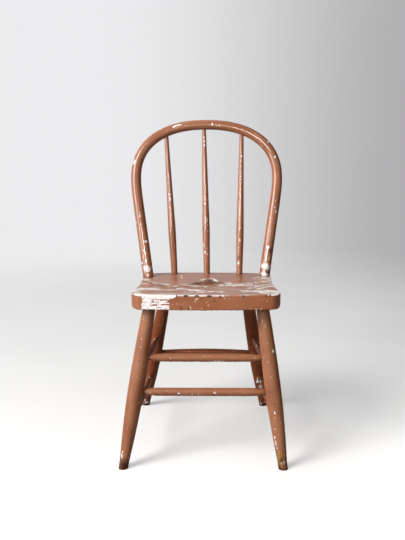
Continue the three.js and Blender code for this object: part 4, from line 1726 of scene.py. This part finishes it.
class BowRod(Rod):
    """A rod whose two ends are cut by the same plane."""

    LEVELLED_RINGS = 25

    def shell(self) -> Shell:
        """As for a rod, with the far end cut level too.

        Returns:
            The closed surface.
        """
        shell = super().shell()
        point, normal = self.start_cut
        rings = shell.points[:-2].reshape(-1, self.sides, 3)
        along = self.at(np.array([self.length]))[1][0]
        down = along / (along @ normal)
        reach = np.linspace(0, 1, self.LEVELLED_RINGS)[:, None]
        height = (rings[-1] - point) @ normal
        rings[-self.LEVELLED_RINGS :] -= (reach * height)[..., None] * down
        shell.points[-1] -= ((shell.points[-1] - point) @ normal) * down
        return shell


class Undercarriage(Assembly):
    """The legs and the stretchers. Those behind the front ones get a darker copy of the paint as painted shade."""

    BURIED_TOP = 5.0  # millimetres of leg inside the seat
    LEG_MARKS = {
        "leg_front_left": (
            *spots(
                (306.4, -37, 4, 2.4), (300.3, -36, 2.6, 2.4), (261.1, -18, 3.2, 2.8), (249.2, 48, 2.6, 2.4),
                (206.4, 25, 2.6, 2.4), (81.7, -16, 2.6, 2.4), (26.5, -40, 8, 5), (21.0, -30, 7, 4),
                (33.0, -34, 5, 4), (22.8, 48, 4.2, 3), (30.0, 52, 3, 2.6), (15.5, -38, 3, 2.6),
            ),
            *spots((216.6, -4, 4.2, 3), layer=Layer.WOOD),
            *spots((296.0, 0, 3, 2.4), (7.0, -20, 20, 40), (6.0, 30, 16, 40), layer=Layer.GRIME),
            *spots(
                (37.0, -46, 3.6, 2.6), (30.5, -24, 3, 2.6), (43.0, -40, 2.6, 2.4), (19.0, -46, 5, 2.8),
                layer=Layer.BRUISE,
            ),
        ),
        "leg_front_right": (
            *spots(
                (297.6, -19, 4, 2.4), (284.5, 0, 2.6, 2.4), (236.0, 34, 7, 5), (225.2, -51, 2.6, 2.4),
                (214.7, -18, 2.6, 2.4), (185.5, -9, 3.2, 2.4), (114.6, -13, 8, 2.6), (104.0, -16, 3, 2.6),
                (81.0, -31, 6, 2.6), (64.6, -47, 8, 4), (58.0, -42, 4, 3), (51.9, -45, 10, 4),
                (43.3, -39, 6, 3), (27.0, 34, 3, 2.6),
            ),
            *spots((131.9, -9, 8, 4.6), (30.4, -30, 19, 10), (16.0, -24, 26, 14), layer=Layer.WOOD),
            *spots((155.5, -30, 3, 7), (4.0, -10, 12, 40), (8.0, 36, 22, 18), layer=Layer.GRIME),
            *spots((148.0, -44, 3, 3), (140.0, 10, 2.4, 2.4), (151.0, 4, 2.6, 2.6), layer=Layer.BRUISE),
        ),
        "leg_rear_left": (
            *spots((249.4, 15, 19, 4.4), (262.0, 20, 8, 3), layer=Layer.WOOD),
            *spots((216.9, 18, 6, 5), layer=Layer.GRIME),
            *spots((89.3, -23, 9, 5), (13.3, 14, 7, 9), (20.0, -30, 5, 6)),
        ),
        "leg_rear_right": (
            *spots(
                (87.0, -16, 15, 6), (77.0, 12, 12, 5.5), (65.8, -2, 9, 9), (80.0, -30, 9, 5),
                (9.9, -30, 6, 7), (14.0, 22, 5, 5),
            ),
            *spots((215.0, -12, 6, 5), layer=Layer.GRIME),
        ),
    }
    STRETCHER_MARKS = {
        "stretcher_front_lower": spots(
            (29.6, -1, 4, 3), (87.7, 5, 8, 3.4), (93.0, 10, 3, 2.4), (101.4, 12, 2.6, 2.4),
            (114.0, 15, 4.4, 2.4), (127.3, 8, 3.2, 4), (159.3, -8, 3.4, 6), (162.0, 6, 4, 3),
        ),
        "stretcher_front_upper": spots(
            (60.0, -3, 3.2, 3), (128.4, -36, 3, 3), (182.7, -16, 2.6, 2.4), (230.5, -16, 2.6, 2.4),
            (150.0, 40, 7, 3.4), (158.5, 43, 8, 3.6), (166.5, 38, 4, 3), (175.0, 47, 3, 2.6),
            (194.3, 48, 4, 3), (213.5, 49, 4, 3), (83.0, 46, 4, 2.6),
        ),
        "stretcher_right_lower": spots((205.0, -60, 26, 3), (236.0, -40, 18, 4), (120.0, 30, 6, 4)),
        "stretcher_left_lower": spots((262.0, 20, 8, 5), (210.0, 60, 9, 3), (90.0, -20, 6, 4)),
        "stretcher_right_upper": spots((150.0, -50, 22, 3), (60.0, 20, 6, 4)),
        "stretcher_left_upper": spots((120.0, 60, 9, 3), (200.0, -10, 5, 4)),
    }

    @staticmethod
    def foot_wear(rod: Rod, wear: Wear, distance: Field, angle: Field, points: np.ndarray) -> None:
        """Scuffed dark feet, darker tops just under the seat and light random wear behind.

        Args:
            rod: The rod that is worn.
            wear: Fields to add to.
            distance: Millimetres along the rod.
            angle: Angle from the side that faces forward.
            points: Places in metres.
        """
        broken = cloudy(points, 0.0075, rod.seed + 19, 3)
        fine = cloudy(points, 0.0032, rod.seed + 29, 2)
        height = points[:, 2] / MM
        scuff = ramp(-height, -21.0, -4.0) * ramp(broken + 0.25 * ramp(-height, -14.0, 0.0), 0.42, 0.66)
        wear.raise_to(Layer.GRIME, np.clip(0.62 * scuff + 0.85 * ramp(-height, -6.0, -2.0), 0, 0.96))
        chips = np.clip((fine - 0.65) * 5.0, 0, 0.85) * ramp(-height, -30.0, -6.0) * ramp(height, 1.5, 6.0)
        wear.raise_to(Layer.UNDERCOAT, chips)
        # The last 30 mm of each leg, just under the seat, is darkened.
        under_seat = ramp(distance, rod.length - 30.0, rod.length - 6.0)
        wear.raise_to(Layer.GRIME, 0.36 * under_seat * (0.4 + 0.8 * broken))
        random_chips(rod, wear, angle, points)

    def leg_ends(self, sizes: LegSizes, side: int) -> tuple[np.ndarray, np.ndarray]:
        """Foot on the floor and top under the seat of one leg, in metres.

        Args:
            sizes: Sizes of the pair.
            side: -1 for left and 1 for right.

        Returns:
            The foot and the top.
        """
        behind = SEAT.depth - sizes.from_edge if sizes.aft else sizes.from_edge
        top = PLACE.on_seat(np.array([side * (SEAT.width / 2 - sizes.from_side), behind, -SEAT.thickness]))
        outward = side * math.tan(math.radians(sizes.splay)) - math.tan(math.radians(FRAME_LEAN))
        rake = math.tan(math.radians(sizes.rake)) * (1 if sizes.aft else -1)
        return top + np.array([outward, rake, -1.0]) * top[2], top

    def build_leg(self, node: str, sizes: LegSizes, seed: int) -> None:
        """Makes one leg, cut level at the floor.

        Args:
            node: Name of the leg's node.
            sizes: Sizes of the pair.
            seed: Seed of its noise.
        """
        foot, top = self.legs[node]
        length = float(np.linalg.norm(top - foot)) / MM
        rod = Rod(
            np.stack([foot, top + unit(top - foot) * self.BURIED_TOP * MM]),
            lambda distance: sizes.diameter(distance, length), sides=64, spacing=1.5, seed=seed, lumps=0.2,
            marks=self.LEG_MARKS[node], wear_more=self.foot_wear,
            start_cut=(np.zeros(3), np.array([0.0, 0.0, 1.0])),
        )
        # Rear legs take the darker paint, which is painted shade.
        self.rod(node, rod, self.other if sizes.aft else self.material)

    def build_stretcher(
        self, node: str, ends: tuple[str, str], height: float, sizes: StretcherSizes, seed: int
    ) -> None:
        """Makes one stretcher between two legs at one height.

        Args:
            node: Name of the stretcher's node.
            ends: Names of the two legs.
            height: Millimetres above the floor.
            sizes: Its thickness.
            seed: Seed of its noise.
        """
        legs = [self.legs[end] for end in ends]
        a, b = [foot + (top - foot) * (height * MM / top[2]) for foot, top in legs]
        radii = []
        for (foot, top), end in zip(legs, ends):
            length = float(np.linalg.norm(top - foot)) / MM
            leg = REAR_LEG if "rear" in end else FRONT_LEG
            radii.append(float(leg.diameter(np.array(height * MM / top[2] * length), length)) / 2)
        along = unit(b - a)
        a = a + along * (radii[0] - sizes.pin_depth) * MM
        b = b + along * (sizes.pin_depth - radii[1]) * MM
        length = float(np.linalg.norm(b - a)) / MM
        along_side = ends[0].split("_")[2] == ends[1].split("_")[2]
        start = sizes.pin_depth
        marks = self.STRETCHER_MARKS.get(node, ())
        if "front" in node:
            marks = shifted(marks, start - radii[0])
        rod = Rod(
            np.stack([a, b]), lambda distance: sizes.shape(distance, length), sides=40, spacing=1.5, seed=seed,
            lumps=0.16, marks=marks, wear_more=grimy_ends(start, length - start, 4.0),
            facing=(0.0, 0.0, 1.0) if along_side else (0.0, -1.0, 0.0), sag=0.55,
        )
        # The side and rear stretchers take the darker paint, which is painted shade.
        self.rod(node, rod, self.material if "front" in node else self.other)

    def build(self) -> None:
        """Makes the legs and the stretchers."""
        rows = (
            ("leg_front_left", FRONT_LEG, -1), ("leg_front_right", FRONT_LEG, 1),
            ("leg_rear_left", REAR_LEG, -1), ("leg_rear_right", REAR_LEG, 1),
        )
        self.legs = {name: self.leg_ends(sizes, side) for name, sizes, side in rows}
        for seed, (name, sizes, _) in enumerate(rows, 41):
            self.build_leg(name, sizes, seed)
        fl, fr, rl, rr = self.legs
        table = (
            ("stretcher_front_upper", (fl, fr), 215.0, STRAIGHT_STRETCHER),
            ("stretcher_front_lower", (fl, fr), 148.0, STRAIGHT_STRETCHER),
            ("stretcher_left_upper", (fl, rl), 192.0, SWELLED_STRETCHER),
            ("stretcher_left_lower", (fl, rl), 88.0, SWELLED_STRETCHER),
            ("stretcher_right_upper", (fr, rr), 192.0, SWELLED_STRETCHER),
            ("stretcher_right_lower", (fr, rr), 88.0, SWELLED_STRETCHER),
            ("stretcher_rear", (rl, rr), 150.0, SWELLED_STRETCHER),
        )
        for seed, (name, ends, height, sizes) in enumerate(table, 61):
            self.build_stretcher(name, ends, height, sizes, seed)


# Studio


@dataclass(frozen=True)
class Lamp:
    """One soft light: where it stands, its size in metres, power and colour."""

    name: str
    place: tuple[float, float, float]
    target: tuple[float, float, float]
    size: float
    power: float
    colour: Colour = (1.0, 1.0, 1.0)
    mirror_only: bool = False


class Studio:
    """Camera, lights, floor and background. Distances are in metres and angles in degrees."""

    LAMPS = (
        Lamp("window", (-2.10, -1.52, 2.18), (0.0, 0.0, 0.38), 1.3, 98.0, (1.0, 0.985, 0.96)),
        Lamp("glint", (-0.26, -1.43, 0.83), (0.09, 0.12, 0.66), 0.22, 24.0, mirror_only=True),
        Lamp("pane_high", (-1.85, -1.30, 1.15), (0.0, 0.1, 0.5), 0.4, 14.0, mirror_only=True),
        Lamp("pane_low", (-1.81, -1.42, 0.62), (-0.12, 0.1, 0.4), 0.4, 14.0, mirror_only=True),
        Lamp("far_wall", (1.9, -1.5, 0.9), (0.0, 0.0, 0.3), 2.0, 9.0, (1.0, 0.94, 0.88)),
    )
    LENS, SENSOR, CLIP = 45.15, 36.0, 0.05
    EYE_X, EYE_AHEAD, EYE_HEIGHT = 0.00543, 1.298, 0.620
    PITCH, YAW = 80.38, 0.53
    ROOM_FILL = 0.26
    ROOM_SHINE = 0.8
    PANE_SHINE = 5.5
    PANE_WAY = (-0.82, -0.50, 0.28)  # direction of the bright pane
    FLOOR_RADIUS = 3.4
    FLOOR_SIDES = 96
    FLOOR_IN_GLOSS = 0.45

    def build(self) -> None:
        """Makes everything that isn't the chair."""
        self.camera()
        for lamp in self.LAMPS:
            self.light(lamp)
        self.world()
        self.floor()
        view = bpy.context.scene.view_settings
        view.view_transform = "Standard"
        view.look = "None"

    def camera(self) -> None:
        """The viewer stands 1.3 m in front of the seat and looks a little down."""
        data = bpy.data.cameras.new("camera")
        data.lens, data.sensor_width, data.clip_start = self.LENS, self.SENSOR, self.CLIP
        camera = link_new("camera", data)
        camera.location = (self.EYE_X, PLACE.front_y - self.EYE_AHEAD, self.EYE_HEIGHT)
        camera.rotation_euler = (math.radians(self.PITCH), 0.0, math.radians(self.YAW))
        bpy.context.scene.camera = camera

    def light(self, lamp: Lamp) -> None:
        """Adds one square soft light.

        Args:
            lamp: The light to add.
        """
        data = bpy.data.lights.new(lamp.name, "AREA")
        data.size = lamp.size
        data.energy = lamp.power
        data.color = lamp.colour
        light = link_new(lamp.name, data)
        light.location = lamp.place
        light.visible_diffuse = not lamp.mirror_only
        aim = Vector(lamp.target) - Vector(lamp.place)
        light.rotation_euler = aim.to_track_quat("-Z", "Y").to_euler()

    def world(self) -> None:
        """A pale background for the camera, with painted light that makes it brighter at the left than at the
        right, and for the light a room with a bright pane at the left.
        """
        world = bpy.data.worlds.new("room")
        g = empty_tree(world)
        direction = g.add("ShaderNodeTexCoord", output="Generated")
        way = g.add("ShaderNodeSeparateXYZ", {0: direction})
        room = g.mix(g.edge(way, -0.15, 0.65), (0.90, 0.90, 0.92), (0.06, 0.05, 0.045))
        # Painted light on the backdrop: bright at the left, greyer towards the right.
        wall = g.mix(g.edge(way, -0.16, 0.33), (0.84, 0.84, 0.855), (0.42, 0.41, 0.42))
        diffuse = g.add("ShaderNodeLightPath", output="Is Diffuse Ray")
        toward = {0: direction, 1: self.PANE_WAY}
        pane = g.add("ShaderNodeVectorMath", toward, output="Value", operation="DOT_PRODUCT")
        shine = g.scaled(g.edge(pane, 0.88, 0.95), self.PANE_SHINE, self.ROOM_SHINE)
        strength = g.blend(diffuse, shine, self.ROOM_FILL)
        seen = g.add("ShaderNodeLightPath", output="Is Camera Ray")
        room_light = g.add("ShaderNodeBackground", {"Color": room, "Strength": strength})
        backdrop = g.add("ShaderNodeBackground", {"Color": wall, "Strength": 1.0})
        both = g.add("ShaderNodeMixShader", {0: seen, 1: room_light, 2: backdrop})
        g.add("ShaderNodeOutputWorld", {"Surface": both})
        bpy.context.scene.world = world

    def floor(self) -> None:
        """A pale round floor that fades into the background. It glows with painted light for the camera and in
        reflections, and to the lamps' bounce it is much darker.
        """
        mesh = bpy.data.meshes.new("floor")
        turns = np.linspace(0, 4 * QUARTER, self.FLOOR_SIDES, endpoint=False)
        ring = [(self.FLOOR_RADIUS * math.cos(a), self.FLOOR_RADIUS * math.sin(a), 0.0) for a in turns]
        mesh.from_pydata(ring, [], [list(range(self.FLOOR_SIDES))])
        material = bpy.data.materials.new("floor")
        g = empty_tree(material)
        place = g.add("ShaderNodeTexCoord", output="Object")
        length = g.add("ShaderNodeVectorMath", {0: place}, output="Value", operation="LENGTH")
        fade = g.edge(length, 1.3, 3.2)
        path = g.add("ShaderNodeLightPath", output="Is Camera Ray")
        seen = g.scaled(path.node.outputs["Is Glossy Ray"], self.FLOOR_IN_GLOSS, path)
        paper = g.mix(g.edge(g.noise(place, 0.5, 2), 0.3, 0.7), (0.60, 0.60, 0.60), (0.64, 0.64, 0.64))
        paper = g.mix(seen, (0.16, 0.155, 0.15), paper)
        x = g.add("ShaderNodeSeparateXYZ", {0: place})
        y = x.node.outputs["Y"]
        # Painted light: for the camera and in reflections the floor glows, most towards the front and less towards
        # the back right, which keeps its shadows pale.
        far = g.blend(g.edge(x, 0.0, 1.3), 0.31, 0.17)
        side = g.times(g.edge(x, 0.12, 0.5), g.edge(y, 1.1, 0.1))
        floor_painted_light = g.scaled(side, 0.14, g.blend(g.edge(y, 0.35, -1.0), far, 0.62))
        floor_painted_light = g.times(seen, floor_painted_light)
        floor_painted_light = {"Emission Color": (1.0, 0.995, 0.985, 1.0), "Emission Strength": floor_painted_light}
        shader = g.add("ShaderNodeBsdfPrincipled", {"Base Color": paper, "Roughness": 0.85, **floor_painted_light})
        clear = g.add("ShaderNodeBsdfTransparent")
        both = g.add("ShaderNodeMixShader", {0: fade, 1: shader, 2: clear})
        g.add("ShaderNodeOutputMaterial", {"Surface": both})
        mesh.materials.append(material)
        floor = link_new("floor", mesh)


class Chair:
    """The whole chair, its finishes and its loose bits of paint."""

    SPECKS = Bits("paint_specks", 1700.0, 0.0006, 0.0016, "speckle", 5, thickness=0.10)
    FLAKES = Bits("paint_flakes", 14000.0, 0.0008, 0.0022, "lift", 9, curl=0.14, thickness=0.05)

    def __init__(self) -> None:
        """Mixes the finishes and gives them to the sub-assemblies."""
        seat = PaintFinish(
            "brown_paint_seat", body=(0.365, 0.131, 0.057), shade=(0.280, 0.090, 0.036), light=(0.42, 0.176, 0.094),
            roughness=0.3, shine=0.24, seed=0.4, bare=(0.235, 0.084, 0.034), umber=(0.070, 0.024, 0.012),
            dimple=0.34, ragged=0.62, brush=0.16,
        )
        bow = PaintFinish(
            "brown_paint_bow", body=(0.355, 0.138, 0.064), shade=(0.275, 0.096, 0.042), light=(0.405, 0.180, 0.102),
            roughness=0.17, shine=0.38, seed=1.7, dimple=0.2, speck_share=0.25,
        )
        spindles = replace(bow, name="brown_paint_spindles", roughness=0.15, brush=0.04, dimple=0.26)
        legs = PaintFinish(
            "brown_paint_legs", body=(0.355, 0.144, 0.070), shade=(0.275, 0.098, 0.044), light=(0.41, 0.190, 0.108),
            roughness=0.46, shine=0.12, seed=2.9, bare=(0.36, 0.175, 0.040), umber=(0.085, 0.030, 0.010),
            grime=(0.050, 0.012, 0.003), speck_share=0.2,
        )
        # The rear legs and the side and rear stretchers get a darker, more saturated copy of the legs' paint:
        # painted shade for the seat's shadow that they stand in.
        rear = replace(
            legs, name="brown_paint_rear", body=(0.215, 0.056, 0.017), shade=(0.155, 0.037, 0.010),
            light=(0.26, 0.082, 0.032), shine=0.15,
        )
        paint = lambda finish: PaintMaterial(finish).material
        under = Undercarriage(paint(legs), paint(rear))
        self.assemblies = [Seat(paint(seat)), Back(paint(bow), paint(spindles)), under]

    def build(self) -> None:
        """Makes every piece, and then spreads the bits over them."""
        for assembly in self.assemblies:
            assembly.build()
        cream = plain_coat("cream_specks", (0.72, 0.56, 0.36), (0.88, 0.80, 0.68), 0.55, 0.03)
        brown = plain_coat("flake_faces", (0.34, 0.125, 0.062), (0.46, 0.20, 0.11), 0.4, 0.01)
        specks = Scatter(self.SPECKS, cream, cream)
        flakes = Scatter(self.FLAKES, brown, cream)
        for assembly in self.assemblies:
            for surface in list(assembly.pieces):
                name = surface.name.replace("_painted", "")
                assembly.keep(specks.spread_on(surface, name + "_specks"))
            if not isinstance(assembly, Undercarriage):
                first = assembly.pieces[0]
                assembly.keep(flakes.spread_on(first, first.name.replace("_painted", "_flakes")))


def main() -> None:
    """Builds the chair and its studio."""
    logging.basicConfig(level=logging.INFO, format="%(name)s %(message)s")
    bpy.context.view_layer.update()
    Studio().build()
    Chair().build()
    bpy.context.view_layer.update()


if __name__ == "__main__":
    main()
